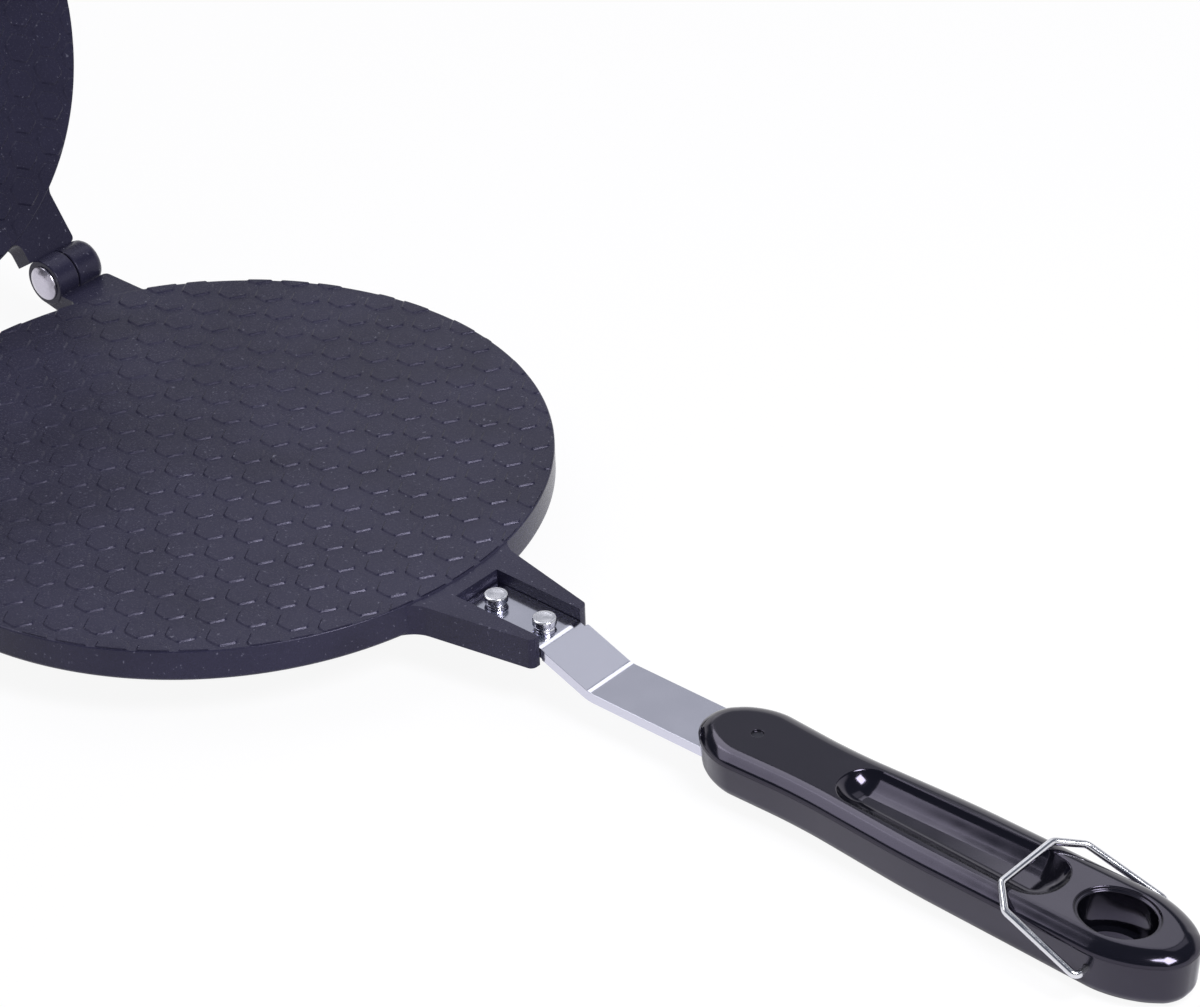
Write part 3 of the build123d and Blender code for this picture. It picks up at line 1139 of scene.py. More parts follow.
@dataclass
class Strip:
    """Bent steel strip from the yoke's slot into the grip, with its two rivets."""

    start_x: float = 105.25
    shoulder_x: float = 137.7
    end_x: float = 230.6
    tongue_half: float = 8.2
    wide_half: float = 9.0
    wide_shift: float = 0.5
    near_shoulder_round: float = 0.2
    far_shoulder_round: float = 0.5
    thickness: float = 3.0
    edge_round: float = 0.9
    end_round: float = 1.0
    top_z: float = 5.65
    drop: float = 6.85
    bend_x: float = 135.4
    bend_run: float = 18.2
    bend_radius: float = 8.0
    bend_steps: int = 10
    # Rivets
    rivet_places: tuple[float, float] = (112.2, 130.2)
    rivet_top: float = 9.04
    rivet_head_radius: float = 3.4
    rivet_neck_radius: float = 2.75
    rivet_shank_radius: float = 2.4
    rivet_foot_radius: float = 3.85
    rivet_foot_height: float = 1.5
    rivet_foot_round: float = 0.15
    rivet_flare: float = 0.35
    rivet_neck_height: float = 0.75
    rivet_neck_round: float = 0.3
    rivet_head_height: float = 1.25
    rivet_rim_round: float = 0.2
    rivet_top_round: float = 0.45
    rivet_land: float = 1.1
    rivet_dip: float = 0.22
    rivet_step: float = 0.02

    def stretches(self) -> tuple[float, float, float, float, float]:
        """Lengths of the blank's five stretches: level, bend, slope, bend back and level again.

        Returns:
            The lengths along the top face.
        """
        slope = math.atan2(self.drop, self.bend_run)
        reach = self.bend_radius * math.tan(slope / 2)
        arc = self.bend_radius * slope
        incline = math.hypot(self.drop, self.bend_run) - 2 * reach
        start = self.bend_x - reach - self.start_x
        end = self.end_x - self.bend_x - self.bend_run - reach
        return start, arc, incline, arc, end

    def bend_place(self, run: float, depth: float) -> tuple[float, float]:
        """Where a point of the flat blank comes to lie once the strip is bent.

        Args:
            run: distance along the blank's top from its start.
            depth: distance under the top face.

        Returns:
            Its x and z.
        """
        heading, x, z = 0.0, self.start_x, self.top_z
        for length, curve in zip(self.stretches(), (0, 1, 0, -1, 0)):
            part = min(run, length)
            run -= part
            if curve == 0:
                x += part * math.cos(heading)
                z -= part * math.sin(heading)
            else:
                turn = curve * part / self.bend_radius
                x += self.bend_radius / curve * (math.sin(heading + turn) - math.sin(heading))
                z += self.bend_radius / curve * (math.cos(heading + turn) - math.cos(heading))
                heading += turn
        return x - depth * math.sin(heading), z - depth * math.cos(heading)

    def blank(self) -> bmesh.types.BMesh:
        """The flat blank with its edges rounded above and below, its top at height 0.

        Returns:
            The closed mesh.
        """
        length = sum(self.stretches())
        shoulder = self.shoulder_x - self.start_x
        far = self.wide_shift + self.wide_half
        near = self.wide_shift - self.wide_half
        shape = flat_face(
            [
                (Vector((0.0, -self.tongue_half, 0.0)), self.end_round, 4),
                (Vector((shoulder, -self.tongue_half, 0.0)), 0.0, 0),
                (Vector((shoulder, near, 0.0)), self.near_shoulder_round, 2),
                (Vector((length, near, 0.0)), self.end_round, 4),
                (Vector((length, far, 0.0)), self.end_round, 4),
                (Vector((shoulder, far, 0.0)), self.far_shoulder_round, 3),
                (Vector((shoulder, self.tongue_half, 0.0)), 0.0, 0),
                (Vector((0.0, self.tongue_half, 0.0)), self.end_round, 4),
            ]
        )
        raise_faces(shape, shape.faces[:], Vector((0.0, 0.0, -self.thickness)))
        bmesh.ops.recalc_face_normals(shape, faces=shape.faces)
        outline = [edge for edge in shape.edges if abs(edge.verts[0].co.z - edge.verts[1].co.z) < NEAR]
        round_edges(shape, outline, self.edge_round, steps=4)
        return shape

    def bent(self) -> bmesh.types.BMesh:
        """The blank with its two bends.

        Returns:
            The closed mesh in its place.
        """
        shape = self.blank()
        first, arc, incline = self.stretches()[:3]
        for start in (first, first + arc + incline):
            for step in range(self.bend_steps + 1):
                bmesh.ops.bisect_plane(
                    shape,
                    geom=shape.verts[:] + shape.edges[:] + shape.faces[:],
                    plane_co=(start + arc * step / self.bend_steps, 0.0, 0.0),
                    plane_no=(1.0, 0.0, 0.0),
                )
        for vert in shape.verts:
            vert.co.x, vert.co.z = self.bend_place(vert.co.x, -vert.co.z)
        return shape

    def rivet(self, x: float) -> bmesh.types.BMesh:
        """One rivet: flush foot, shank and a flat head with a narrower neck under it.

        Args:
            x: where it stands.

        Returns:
            The closed mesh.
        """
        seat = self.top_z + self.rivet_step
        top = self.rivet_top
        return turned(
            [
                (0.0, 0.0, 0.0),
                (self.rivet_foot_radius, 0.0, self.rivet_foot_round),
                (self.rivet_shank_radius, self.rivet_foot_height, 0.0),
                (self.rivet_shank_radius, seat, 0.0),
                (self.rivet_neck_radius + self.rivet_flare, seat, self.rivet_foot_round),
                (self.rivet_neck_radius, self.top_z + self.rivet_neck_height, self.rivet_neck_round),
                (self.rivet_head_radius, self.top_z + self.rivet_head_height, self.rivet_rim_round),
                (self.rivet_head_radius, top, self.rivet_top_round),
                (self.rivet_head_radius - self.rivet_land, top - self.rivet_step, self.rivet_rim_round),
                (0.0, top - self.rivet_dip, 0.0),
            ],
            PIN_STEPS,
            Matrix.Translation((x, 0.0, 0.0)),
        )


@dataclass
class HingePin:
    """Pin through two knuckles, with a domed head on the inner side and a peened tail."""

    axis_x: float = Plate.hinge_x
    axis_z: float = Plate.hinge_z
    inner_y: float = 35.3
    outer_y: float = 54.3
    radius: float = 3.0
    head_radius: float = 5.5
    head_height: float = 1.6
    head_edge: float = 0.45
    head_edge_round: float = 0.4
    dome_share: float = 0.55
    dome_round: float = 4.5
    dome_step: float = 0.02
    tail_radius: float = 4.2
    tail_height: float = 0.9
    tail_edge_share: float = 0.4
    tail_edge_round: float = 0.3
    tail_face_share: float = 0.6
    tail_face_round: float = 1.2

    def shape(self, side: Side) -> bmesh.types.BMesh:
        """The pin in its place.

        Args:
            side: the hinge that it belongs to.

        Returns:
            The closed mesh.
        """
        crown = self.inner_y - self.head_height
        tail_end = self.outer_y + self.tail_height
        tail_edge = self.outer_y + self.tail_height * self.tail_edge_share
        pin = turned(
            [
                (0.0, crown, 0.0),
                (self.head_radius * self.dome_share, crown + self.dome_step, self.dome_round),
                (self.head_radius, self.inner_y - self.head_edge, self.head_edge_round),
                (self.head_radius, self.inner_y, 0.0),
                (self.radius, self.inner_y, 0.0),
                (self.radius, self.outer_y, 0.0),
                (self.tail_radius, self.outer_y, 0.0),
                (self.tail_radius, tail_edge, self.tail_edge_round),
                (self.tail_radius * self.tail_face_share, tail_end, self.tail_face_round),
                (0.0, tail_end, 0.0),
            ],
            PIN_STEPS,
            along_y(self.axis_x, self.axis_z),
        )
        return to_side(pin, side)


@dataclass
class Grip:
    """Moulded grip with a thumb channel, a hanging hole and holes for the locking wire."""

    front_x: float = 188.6
    length: float = 157.5
    palm_half: float = 15.3
    top_front_z: float = 4.6
    top_back_z: float = 2.6
    bottom_front_z: float = -9.3
    bottom_back_z: float = -13.9
    shoulder_radius: float = 7.0
    shoulder_slope: float = 44.0
    edge_radius: float = 1.5
    parting_height: float = 0.25
    parting_ledge: float = 0.05
    side_draft: float = 0.7
    side_drop: float = 1.0
    lower_slope: float = 86.0
    lower_radius: float = 4.0
    # Thumb channel
    channel_from_front: float = 46.5
    channel_length: float = 70.7
    channel_front_half: float = 7.6
    channel_back_half: float = 9.4
    channel_depth: float = 3.8
    channel_rim_slope: float = 12.0
    channel_wall_slope: float = 53.0
    channel_floor_slope: float = 4.0
    channel_rim_radius: float = 0.9
    channel_front_share: float = 0.97
    channel_back_share: float = 0.93
    channel_lift: float = 0.02
    # Hanging hole, with a step at its rim and a ledge near its lower end
    hole_from_back: float = 23.3
    hole_half_length: float = 10.8
    hole_half_width: float = 8.6
    hole_step: float = 0.9
    hole_step_depth: float = 0.8
    hole_ledge: float = 2.4
    hole_ledge_depth: float = 12.0
    hole_sides: int = 72
    # Pin, tongue and locking wire
    peg_sides: int = 40
    cut_margin: float = 1.0
    pin_from_front: float = 17.3
    pin_hole_radius: float = 1.75
    pin_hole_depth: float = 0.55
    tang_half: float = 9.15
    tang_shift: float = Strip.wide_shift
    tang_top: float = -1.05
    tang_bottom: float = -4.35
    tang_length: float = 42.2
    bail_from_back: float = 21.9
    bail_z: float = -4.7
    bail_hole_radius: float = 1.15
    bail_hole_depth: float = 5.4
    # Softened rims, on edges sharper than the angle and close to the top or the underside
    crisp_angle: float = 40.0
    crisp_depth: float = 1.0
    crisp_rise: float = 0.1
    rim_round: float = 0.45
    pin_rim_round: float = 0.15

    def outline(self) -> list[tuple[float, float, float, int]]:
        """Corners of the plan's right half from the front: nose, bulb, waist, palm, heel and tip.

        Returns:
            For each corner its distance from the front, half width, rounding radius and segments.
        """
        return [
            (0.0, 4.4, 9.0, 7),
            (9.8, 14.3, 18.0, 12),
            (40.0, 12.7, 160.0, 8),
            (78.0, 14.9, 300.0, 6),
            (self.length - 12.9, self.palm_half, 28.0, 14),
            (self.length, 5.3, 9.0, 9),
        ]

    def top_z(self, x: float) -> float:
        """Height of the flat top at a place along X."""
        rise = (self.top_back_z - self.top_front_z) / self.length
        return self.top_front_z + rise * (x - self.front_x)

    def bottom_z(self, x: float) -> float:
        """Height of the underside at a place along X."""
        rise = (self.bottom_back_z - self.bottom_front_z) / self.length
        return self.bottom_front_z + rise * (x - self.front_x)

    def on_top(self) -> Matrix:
        """Matrix from a level frame at the front end to the sloping top."""
        slope = math.asin((self.top_front_z - self.top_back_z) / self.length)
        return Matrix.Translation((self.front_x, 0.0, self.top_front_z)) @ Matrix.Rotation(slope, 4, "Y")

    def arc_steps(self, radius: float, start: float, end: float, steps: int) -> list[tuple[float, float]]:
        """Steps over a rounding, from a steep side towards a flat face.

        Args:
            radius: of the rounding.
            start: slope where it starts, in degrees.
            end: slope where it ends, in degrees.
            steps: how many steps it takes.

        Returns:
            For each step how far it goes inward and outward.
        """
        slopes = [math.radians(start + (end - start) * number / steps) for number in range(steps + 1)]
        return [
            (radius * (math.sin(a) - math.sin(b)), radius * (math.cos(b) - math.cos(a)))
            for a, b in zip(slopes, slopes[1:])
        ]

    def moulding(self) -> bmesh.types.BMesh:
        """The moulding before its channel and holes.

        Returns:
            The closed mesh.
        """
        half = self.outline()
        right = [(Vector((self.front_x + x, y, 0.0)), radius, steps) for x, y, radius, steps in half]
        left = [(Vector((place.x, -place.y, 0.0)), radius, steps) for place, radius, steps in reversed(right)]
        shape = flat_face(right + left)
        band = shape.faces[:]
        top = raise_faces(shape, band, Vector((0.0, 0.0, self.parting_height)))[0]
        bmesh.ops.recalc_face_normals(shape, faces=shape.faces)
        bottom = min(shape.faces, key=lambda face: face.calc_center_median().z)
        upper = [(self.parting_ledge, 0.0)]
        upper += self.arc_steps(self.edge_radius, 90.0, self.shoulder_slope, steps=3)
        upper += self.arc_steps(self.shoulder_radius, self.shoulder_slope, 0.0, steps=9)
        for inward, out in upper:
            step_in(shape, top, inward, out)
        lower = [(self.parting_ledge, 0.0), (self.side_draft, self.side_drop)]
        lower += self.arc_steps(self.lower_radius, self.lower_slope, 0.0, steps=7)
        for inward, out in lower:
            step_in(shape, bottom, inward, out)
        highest = self.parting_height + sum(out for _, out in upper)
        lowest = -sum(out for _, out in lower)
        for vert in shape.verts:
            if vert.co.z > -self.side_drop / 2:
                vert.co.z += self.top_z(vert.co.x) - highest
            else:
                vert.co.z += self.bottom_z(vert.co.x) - lowest
        return shape

    def channel(self) -> bmesh.types.BMesh:
        """Cutter for the thumb channel: a hollow of even depth with a rounded rim.

        Returns:
            The closed mesh in its place.
        """
        steep = self.channel_wall_slope
        edge = self.arc_steps(self.channel_rim_radius, self.channel_rim_slope, steep, steps=4)
        rim = [(-inward, -out) for inward, out in edge]
        hollow_radius = self.channel_depth / (1.0 - math.cos(math.radians(steep)))
        hollow = self.arc_steps(hollow_radius, steep, self.channel_floor_slope, steps=12)
        grow = sum(inward for inward, _ in rim)
        front, back = self.channel_front_half + grow, self.channel_back_half + grow
        start = self.channel_from_front - grow
        end = self.channel_from_front + self.channel_length + grow
        right = [
            (start, front, front * self.channel_front_share),
            (end, back, back * self.channel_back_share),
        ]
        ring = right + [(x, -y, radius) for x, y, radius in reversed(right)]
        shape = flat_face([(Vector((x, y, self.channel_lift)), radius, 14) for x, y, radius in ring])
        raise_faces(shape, shape.faces[:], Vector((0.0, 0.0, self.cut_margin)))
        bmesh.ops.recalc_face_normals(shape, faces=shape.faces)
        bottom = min(shape.faces, key=lambda face: face.calc_center_median().z)
        for inward, out in rim + hollow:
            step_in(shape, bottom, inward, out)
        bmesh.ops.transform(shape, matrix=self.on_top(), verts=shape.verts)
        return shape

    def oval(self, grow: float, low: float, high: float) -> bmesh.types.BMesh:
        """Cutter for the hanging hole.

        Args:
            grow: how much wider than the hole it is on each side.
            low: its lower end, from the top.
            high: its upper end, from the top.

        Returns:
            The closed mesh in its place.
        """
        shape = bmesh.new()
        size = Matrix.Diagonal((self.hole_half_length + grow, self.hole_half_width + grow, 1.0, 1.0))
        middle = Matrix.Translation((self.length - self.hole_from_back, 0.0, (low + high) / 2))
        bmesh.ops.create_cone(
            shape,
            cap_ends=True,
            segments=self.hole_sides,
            radius1=1.0,
            radius2=1.0,
            depth=high - low,
            matrix=self.on_top() @ middle @ size,
        )
        return shape

    def peg(self, radius: float, height: float, place: Matrix) -> bmesh.types.BMesh:
        """A round cutter on the Z axis, centred at height 0 and carried to its place.

        Args:
            radius: of the cutter.
            height: from end to end.
            place: carries it to its place.

        Returns:
            The closed mesh in its place.
        """
        shape = bmesh.new()
        bmesh.ops.create_cone(
            shape,
            cap_ends=True,
            segments=self.peg_sides,
            radius1=radius,
            radius2=radius,
            depth=height,
            matrix=place,
        )
        return shape

    def cutters(self) -> list[bmesh.types.BMesh]:
        """Everything that is cut out of the moulding.

        Returns:
            The closed meshes in their places.
        """
        tall = 2 * (self.top_front_z - self.bottom_back_z)
        bail = along_y(self.front_x + self.length - self.bail_from_back, self.bail_z)
        pin = self.on_top() @ Matrix.Translation((self.pin_from_front, 0.0, 0.0))
        shapes = [
            self.channel(),
            self.oval(-self.hole_ledge, -tall, tall),
            self.oval(0.0, -self.hole_ledge_depth, tall),
            self.oval(self.hole_step, -self.hole_step_depth, tall),
            self.peg(self.pin_hole_radius, 2 * self.pin_hole_depth, pin),
            straight_bar(
                Vector((self.front_x - self.cut_margin, self.tang_shift - self.tang_half, self.tang_bottom)),
                Vector((self.front_x + self.tang_length, self.tang_shift + self.tang_half, self.tang_top)),
            ),
        ]
        for side in Side:
            place = bail @ Matrix.Translation((0.0, 0.0, side.value * self.palm_half))
            shapes.append(self.peg(self.bail_hole_radius, 2 * self.bail_hole_depth, place))
        return shapes

    def shape(self) -> bmesh.types.BMesh:
        """The finished grip, with the rims of its holes softened.

        Returns:
            The closed mesh.
        """
        shape = cut(self.moulding(), self.cutters())
        bmesh.ops.remove_doubles(shape, verts=shape.verts, dist=CUT_WELD)
        pin = Vector((self.front_x + self.pin_from_front, 0.0))
        for width, at_pin in ((self.pin_rim_round, True), (self.rim_round, False)):
            crisp = []
            for edge in shape.edges:
                if len(edge.link_faces) != 2 or edge.calc_face_angle(0.0) < math.radians(self.crisp_angle):
                    continue
                ends = [vert.co for vert in edge.verts]
                near_top = all(self.top_z(end.x) - end.z < self.crisp_depth for end in ends)
                near_bottom = all(end.z - self.bottom_z(end.x) < self.crisp_rise for end in ends)
                near_pin = (ends[0].xy - pin).length < 2 * self.pin_hole_radius
                if (near_top or near_bottom) and near_pin == at_pin:
                    crisp.append(edge)
            round_edges(shape, crisp, width, steps=4)
        return shape


@dataclass
class Bail:
    """Bent wire that locks the grips together: two ends in the lower grip, two legs and a crossbar."""

    pivot_x: float = 324.3
    pivot_z: float = Grip.bail_z
    wire_radius: float = 1.05
    length: float = 31.4
    shoulder_reach: float = 24.9
    crossbar_half: float = 10.9
    shoulder_half: float = 17.45
    pivot_half: float = 19.5
    end_half: float = 10.7
    bend_radius: float = 2.6
    pivot_bend_radius: float = 1.6
    bend_steps: int = 8
    rest_angle: float = 18.01
    wire_sides: int = 24

    def route(self) -> list[tuple[Vector, float]]:
        """Corners of the wire's centre line, with the radius of the bend at each.

        Returns:
            The corners from one end to the other, with the legs along -X.
        """
        half = [
            (0.0, self.end_half, 0.0),
            (0.0, self.pivot_half, self.pivot_bend_radius),
            (-self.shoulder_reach, self.shoulder_half, self.bend_radius),
            (-self.length, self.crossbar_half, self.bend_radius),
        ]
        whole = half + [(x, -y, radius) for x, y, radius in reversed(half)]
        return [(Vector((x, y, 0.0)), radius) for x, y, radius in whole]

    def shape(self) -> bmesh.types.BMesh:
        """The wire, drawn along its route by extruding its section and spinning it round each bend.

        Returns:
            The closed mesh in its place.
        """
        route = self.route()
        shape = bmesh.new()
        start = Matrix.Translation(route[0][0]) @ Matrix.Rotation(math.pi / 2, 4, "X")
        bmesh.ops.create_circle(
            shape, cap_ends=True, radius=self.wire_radius, segments=self.wire_sides, matrix=start
        )
        front = shape.faces[:]
        place = route[0][0]
        for number in range(1, len(route)):
            corner, radius = route[number]
            heading = (corner - route[number - 1][0]).normalized()
            if number + 1 == len(route):
                raise_faces(shape, front, corner - place)
                break
            leaving = (route[number + 1][0] - corner).normalized()
            turn = heading.angle(leaving)
            reach = radius * math.tan(turn / 2)
            front = raise_faces(shape, front, corner - heading * reach - place)
            axis = heading.cross(leaving).normalized()
            centre = corner - heading * reach + axis.cross(heading) * radius
            spun = bmesh.ops.spin(
                shape,
                geom=front,
                cent=centre,
                axis=axis,
                angle=turn,
                steps=self.bend_steps,
                use_merge=False,
            )
            front = [g for g in spun["geom_last"] if isinstance(g, bmesh.types.BMFace)]
            place = corner + leaving * reach
        sections = [face for face in shape.faces if len(face.verts) == self.wire_sides]
        ends = (route[0][0], route[-1][0])
        inner = [
            face for face in sections if all((face.calc_center_median() - end).length > NEAR for end in ends)
        ]
        bmesh.ops.delete(shape, geom=inner, context="FACES_ONLY")
        tilt = Matrix.Rotation(math.radians(self.rest_angle), 4, "Y")
        rest = Matrix.Translation((self.pivot_x, 0.0, self.pivot_z)) @ tilt
        bmesh.ops.transform(shape, matrix=rest, verts=shape.verts)
        return shape


# Studio


@dataclass(frozen=True)
class SoftBox:
    """A rectangular lamp that faces the pan.

    Attributes:
        name: of the lamp.
        aim: direction from the pan to the lamp.
        width: along the pan's length, in metres.
        height: across the pan's length, in metres.
        power: in watts.
        distance: in metres.
        faces_x: the place along the pan's length that it faces, in metres.
    """

    name: str
    aim: tuple[float, float, float]
    width: float
    height: float
    power: float
    distance: float = 1.5
    faces_x: float = 0.12

    def build(self) -> None:
        """Sets the lamp up, with its width along the pan's length."""
        lamp = bpy.data.lights.new(self.name, "AREA")
        lamp.shape = "RECTANGLE"
        lamp.size = self.width
        lamp.size_y = self.height
        lamp.energy = self.power
        holder = bpy.data.objects.new(self.name, lamp)
        out = Vector(self.aim).normalized()
        across = out.cross(Vector((1.0, 0.0, 0.0))).normalized()
        turn = Matrix((across.cross(out), across, out)).transposed()
        place = Vector((self.faces_x, 0.0, 0.0)) + out * self.distance
        holder.matrix_world = Matrix.Translation(place) @ turn.to_4x4()
        bpy.context.scene.collection.objects.link(holder)


@dataclass
class Studio:
    """White floor, white surroundings, soft lamps and the camera.

    Lengths are in metres here, other than the floor's height, the lens and the sensor, which are in
    millimetres. The backdrop's top and fade are upward shares of a ray's direction.
    """

    floor_z: float = -14.3
    floor_x: float = 0.12
    floor_half: float = 3.0
    paper: str = "#efeefa"
    paper_glow: float = 0.92
    shade_reach: float = 0.03
    shade_samples: int = 4
    backdrop: str = "#ffffff"
    ceiling: str = "#565c68"
    ambient: str = "#ffffff"
    ambient_strength: float = 0.2
    backdrop_top: float = 0.36
    backdrop_fade: float = 0.14
    camera_place: tuple[float, float, float] = (0.81093, -0.72150, 0.69401)
    camera_azimuth: float = 42.26
    camera_elevation: float = 33.35
    camera_roll: float = -1.928
    lens: float = 132.007
    sensor: float = 36.0
    shift_x: float = -0.00738
    shift_y: float = 0.01056
    clip_near: float = 0.05
    clip_far: float = 30.0

    def seen_share(self, tree: bpy.types.NodeTree) -> bpy.types.NodeSocket:
        """Whether a ray is seen directly, in a reflection or through glass.

        Args:
            tree: the node tree that needs it.

        Returns:
            A socket that is 1 for such rays and 0 for others.
        """
        path = add_node(tree, "ShaderNodeLightPath")
        first = add_node(
            tree,
            "ShaderNodeMath",
            {0: path.outputs["Is Camera Ray"], 1: path.outputs["Is Glossy Ray"]},
            operation="ADD",
        )
        both = add_node(
            tree,
            "ShaderNodeMath",
            {0: first.outputs[0], 1: path.outputs["Is Transmission Ray"]},
            operation="ADD",
            use_clamp=True,
        )
        return both.outputs[0]

    def surroundings(self) -> None:
        """White behind the pan, and a dimmer ceiling that only reflections see."""
        world = bpy.data.worlds.new("white surroundings")
        bpy.context.scene.world = world
        world.use_nodes = True
        tree = world.node_tree
        tree.nodes.clear()
        heading = add_node(tree, "ShaderNodeTexCoord").outputs["Generated"]
        height = add_node(tree, "ShaderNodeSeparateXYZ", {"Vector": heading}).outputs["Z"]
        above = add_node(
            tree,
            "ShaderNodeMapRange",
            {
                "Value": height,
                "From Min": self.backdrop_top,
                "From Max": self.backdrop_top + self.backdrop_fade,
            },
            interpolation_type="SMOOTHSTEP",
        )
        path = add_node(tree, "ShaderNodeLightPath")
        reflected = add_node(
            tree,
            "ShaderNodeMath",
            {0: above.outputs["Result"], 1: path.outputs["Is Glossy Ray"]},
            operation="MULTIPLY",
        )
        seen = add_node(
            tree,
            "ShaderNodeMix",
            {0: reflected.outputs[0], 6: linear(self.backdrop), 7: linear(self.ceiling)},
            data_type="RGBA",
        )
        shown = add_node(tree, "ShaderNodeBackground", {"Color": seen.outputs[2], "Strength": 1.0})
        light = add_node(
            tree,
            "ShaderNodeBackground",
            {"Color": linear(self.ambient), "Strength": self.ambient_strength},
        )
        mix = add_node(
            tree,
            "ShaderNodeMixShader",
            {0: self.seen_share(tree), 1: light.outputs[0], 2: shown.outputs[0]},
        )
        add_node(tree, "ShaderNodeOutputWorld", {"Surface": mix.outputs[0]})

    def floor(self) -> None:
        """A white floor under the pan that keeps its shadow; in reflections its glow is darkened near the pan
        by occlusion, which is painted shade.
        """
        shape = bmesh.new()
        bmesh.ops.create_grid(
            shape,
            x_segments=1,
            y_segments=1,
            size=self.floor_half,
            matrix=Matrix.Translation((self.floor_x, 0.0, self.floor_z * MM)),
        )
        mesh = bpy.data.meshes.new("floor")
        shape.to_mesh(mesh)
        shape.free()
        material = bpy.data.materials.new("white studio paper")
        material.use_nodes = True
        tree = material.node_tree
        tree.nodes.clear()
        paper = add_node(tree, "ShaderNodeBsdfDiffuse", {"Color": linear(self.paper)})
        glow = add_node(tree, "ShaderNodeEmission", {"Color": linear(self.backdrop), "Strength": 1.0})
        path = add_node(tree, "ShaderNodeLightPath")
        # Painted shade: reflections see the floor's glow dimmed by how much the pan occludes it nearby
        painted_floor_occlusion = add_node(
            tree,
            "ShaderNodeAmbientOcclusion",
            {"Distance": self.shade_reach},
            samples=self.shade_samples,
        )
        glow_after_painted_shade = add_node(
            tree,
            "ShaderNodeMath",
            {0: path.outputs["Is Camera Ray"], 1: painted_floor_occlusion.outputs["AO"]},
            operation="MAXIMUM",
        )
        seen = add_node(
            tree,
            "ShaderNodeMath",
            {0: self.seen_share(tree), 1: glow_after_painted_shade.outputs[0]},
            operation="MULTIPLY",
        )
        share = add_node(
            tree,
            "ShaderNodeMath",
            {0: seen.outputs[0], 1: self.paper_glow},
            operation="MULTIPLY",
        )
        mix = add_node(
            tree, "ShaderNodeMixShader", {0: share.outputs[0], 1: paper.outputs[0], 2: glow.outputs[0]}
        )
        add_node(tree, "ShaderNodeOutputMaterial", {"Surface": mix.outputs[0]})
        mesh.materials.append(material)
        floor = bpy.data.objects.new("floor", mesh)
        bpy.context.scene.collection.objects.link(floor)

    def lamps(self) -> list[SoftBox]:
        """The lamps, each placed for what the camera sees in the pan's surfaces.

        Returns:
            A key lamp that the pads' edges catch, two wide bands over the hinge side that the grips'
            shoulders mirror, and three dim panels that the near shoulder and the steel strip mirror.
        """
        return [
            SoftBox("key", (0.59, -0.065, 0.805), 0.36, 0.3, 7.8, distance=0.9),
            SoftBox("band_high", (-0.56, 0.276, 0.781), 1.1, 1.33, 13.3, distance=3.0),
            SoftBox("band_low", (-0.56, -0.221, 0.798), 1.1, 2.18, 19.0, distance=3.0),
            SoftBox("near_panel", (-0.536, 0.609, 0.584), 0.4, 0.22, 0.12, distance=0.616, faces_x=0.2),
            SoftBox("strip_bend", (-0.26, 0.62, 0.735), 0.34, 0.5, 0.7),
            SoftBox("strip_slope", (0.03, 0.62, 0.785), 0.42, 0.6, 0.5),
        ]

    def camera(self) -> None:
        """The camera at the photograph's viewing angle."""
        data = bpy.data.cameras.new("camera")
        data.lens = self.lens
        data.sensor_width = self.sensor
        data.sensor_fit = "HORIZONTAL"
        data.shift_x = self.shift_x
        data.shift_y = self.shift_y
        data.clip_start = self.clip_near
        data.clip_end = self.clip_far
        camera = bpy.data.objects.new("camera", data)
        turn = Matrix.Rotation(math.radians(self.camera_azimuth), 4, "Z")
        turn @= Matrix.Rotation(math.radians(90.0 - self.camera_elevation), 4, "X")
        turn @= Matrix.Rotation(math.radians(self.camera_roll), 4, "Z")
        camera.matrix_world = Matrix.Translation(self.camera_place) @ turn
        bpy.context.scene.collection.objects.link(camera)
        bpy.context.scene.camera = camera

    def build(self) -> None:
        """Sets up floor, surroundings, lamps and camera."""
        self.surroundings()
        self.floor()
        for lamp in self.lamps():
            lamp.build()
        self.camera()
        bpy.context.scene.view_settings.view_transform = "Standard"


# The whole pan


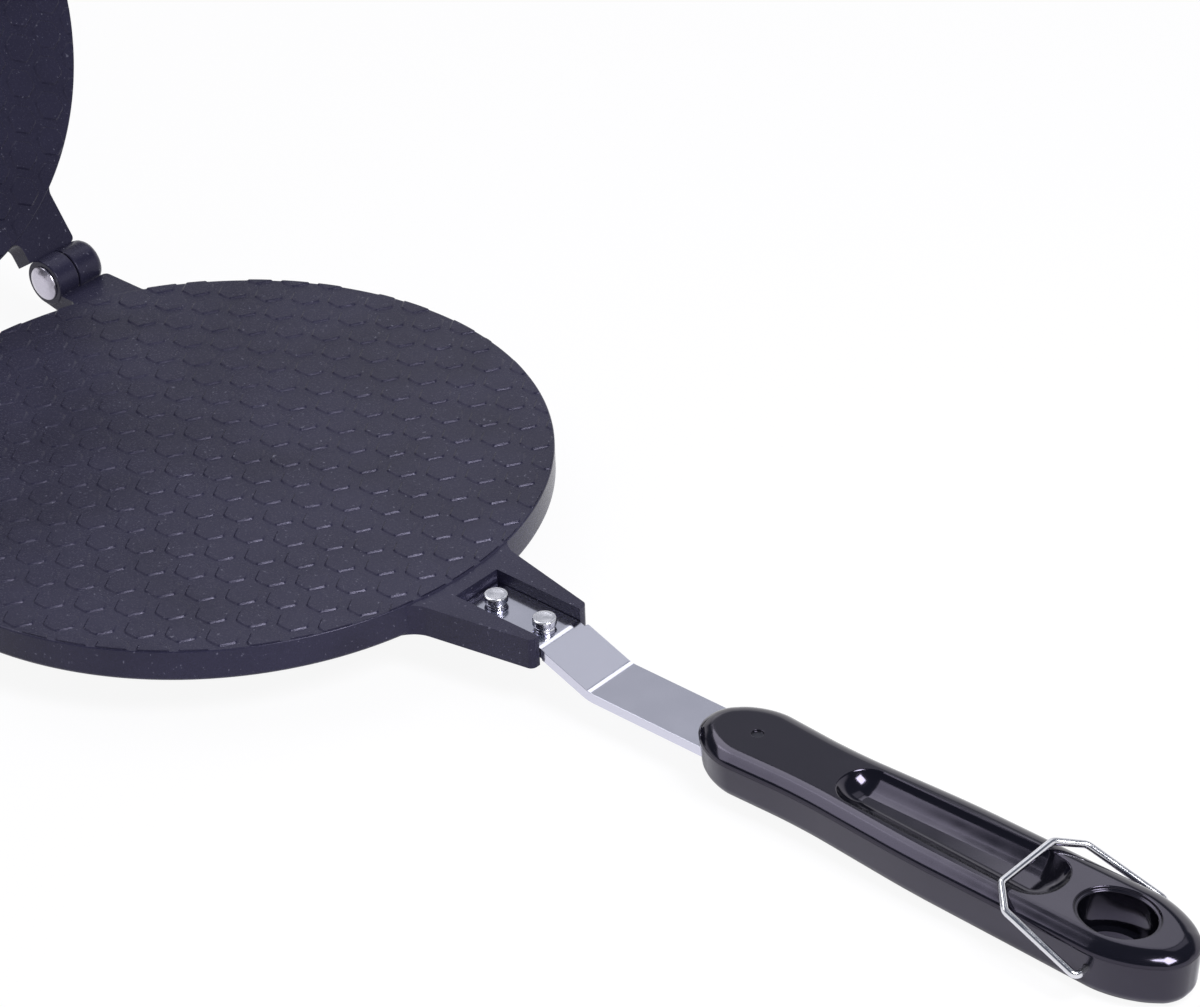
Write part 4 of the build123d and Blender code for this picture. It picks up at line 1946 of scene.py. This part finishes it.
@dataclass
class WafflePan:
    """The whole pan: two halves and the locking wire.

    Attributes:
        hinge: the frame's joint between the halves.
    """

    hinge: dict[str, Any]

    def halves(self) -> tuple[Half, Half, Half]:
        """The lower half, the upper half and the locking wire.

        Returns:
            The three, each with its place.
        """
        axis_place = Vector(self.hinge["pos_m"])
        to_axis = Matrix.Translation(axis_place)
        opening = math.radians(-self.hinge["range_deg"][0])
        swing = to_axis @ Matrix.Rotation(opening, 4, Vector(self.hinge["axis"])) @ to_axis.inverted()
        level = Matrix.Translation((0.0, 0.0, axis_place.z))
        turn_over = level @ Matrix.Rotation(math.pi, 4, "X") @ level.inverted()
        lower = Half("lower", "lower_half", Matrix.Identity(4))
        upper = Half("upper", "upper_half", swing @ turn_over)
        wire = Half("bail", "bail", Matrix.Identity(4))
        return lower, upper, wire

    def dress_half(self, half: Half) -> None:
        """Builds and dresses the pieces that both halves have.

        Args:
            half: the half to build.
        """
        name = half.name
        strip = Strip()
        coat = CoatedCasting().build(half)
        steel = RolledSteel().build(half)
        rivet_metal = StruckMetal(label="headed aluminium rivet", dent_mm=3.0, dent_strength=0.15).build(half)
        resin = MouldedPhenolic().build(half)
        add_piece(Plate().casting(), f"{name}_plate_casting", half, coat, f"{name}_plate")
        add_piece(strip.bent(), f"{name}_bent_strip", half, steel, f"{name}_handle_strip")
        for place, x in zip(("inner", "outer"), strip.rivet_places):
            node = f"{name}_{place}_rivet"
            add_piece(strip.rivet(x), f"{node}_head", half, rivet_metal, node)
        add_piece(Grip().shape(), f"{name}_moulded_grip", half, resin, f"{name}_grip")
        dull_pin = StruckMetal(label="blackened steel pin", metal="#3a3a42", roughness=0.4).build(half)
        pin = bpy.data.objects[f"{name}_tang_pin"]
        for slot in pin.material_slots:
            slot.material = dull_pin
        LOG.info("%s: kept, with a new finish", pin.name)

    def build(self) -> None:
        """Builds and dresses every piece."""
        lower, upper, wire = self.halves()
        for half in (lower, upper):
            self.dress_half(half)
        pin_metal = StruckMetal(
            label="peened steel pin", metal="#c6c2d0", dent_mm=1.8, dent_strength=0.5, roughness=0.3
        ).build(lower)
        for side in Side:
            node = f"hinge_pin_{side.name.lower()}"
            add_piece(HingePin().shape(side), f"{node}_turned", lower, pin_metal, node)
        chrome = StruckMetal(
            label="chromed drawn wire", metal="#dcdce2", dent_mm=6.0, dent_strength=0.03, roughness=0.18
        ).build(wire)
        add_piece(Bail().shape(), "bail_bent_wire", wire, chrome, "locking_bail")


def main() -> None:
    """Builds the pan's looks around its frame."""
    logging.basicConfig(level=logging.INFO, format="%(name)s: %(message)s", stream=sys.stdout)
    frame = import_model()
    joints = {joint["name"]: joint for joint in frame["joints"]}
    WafflePan(joints["plate_hinge"]).build()
    Studio().build()


if __name__ == "__main__":
    main()
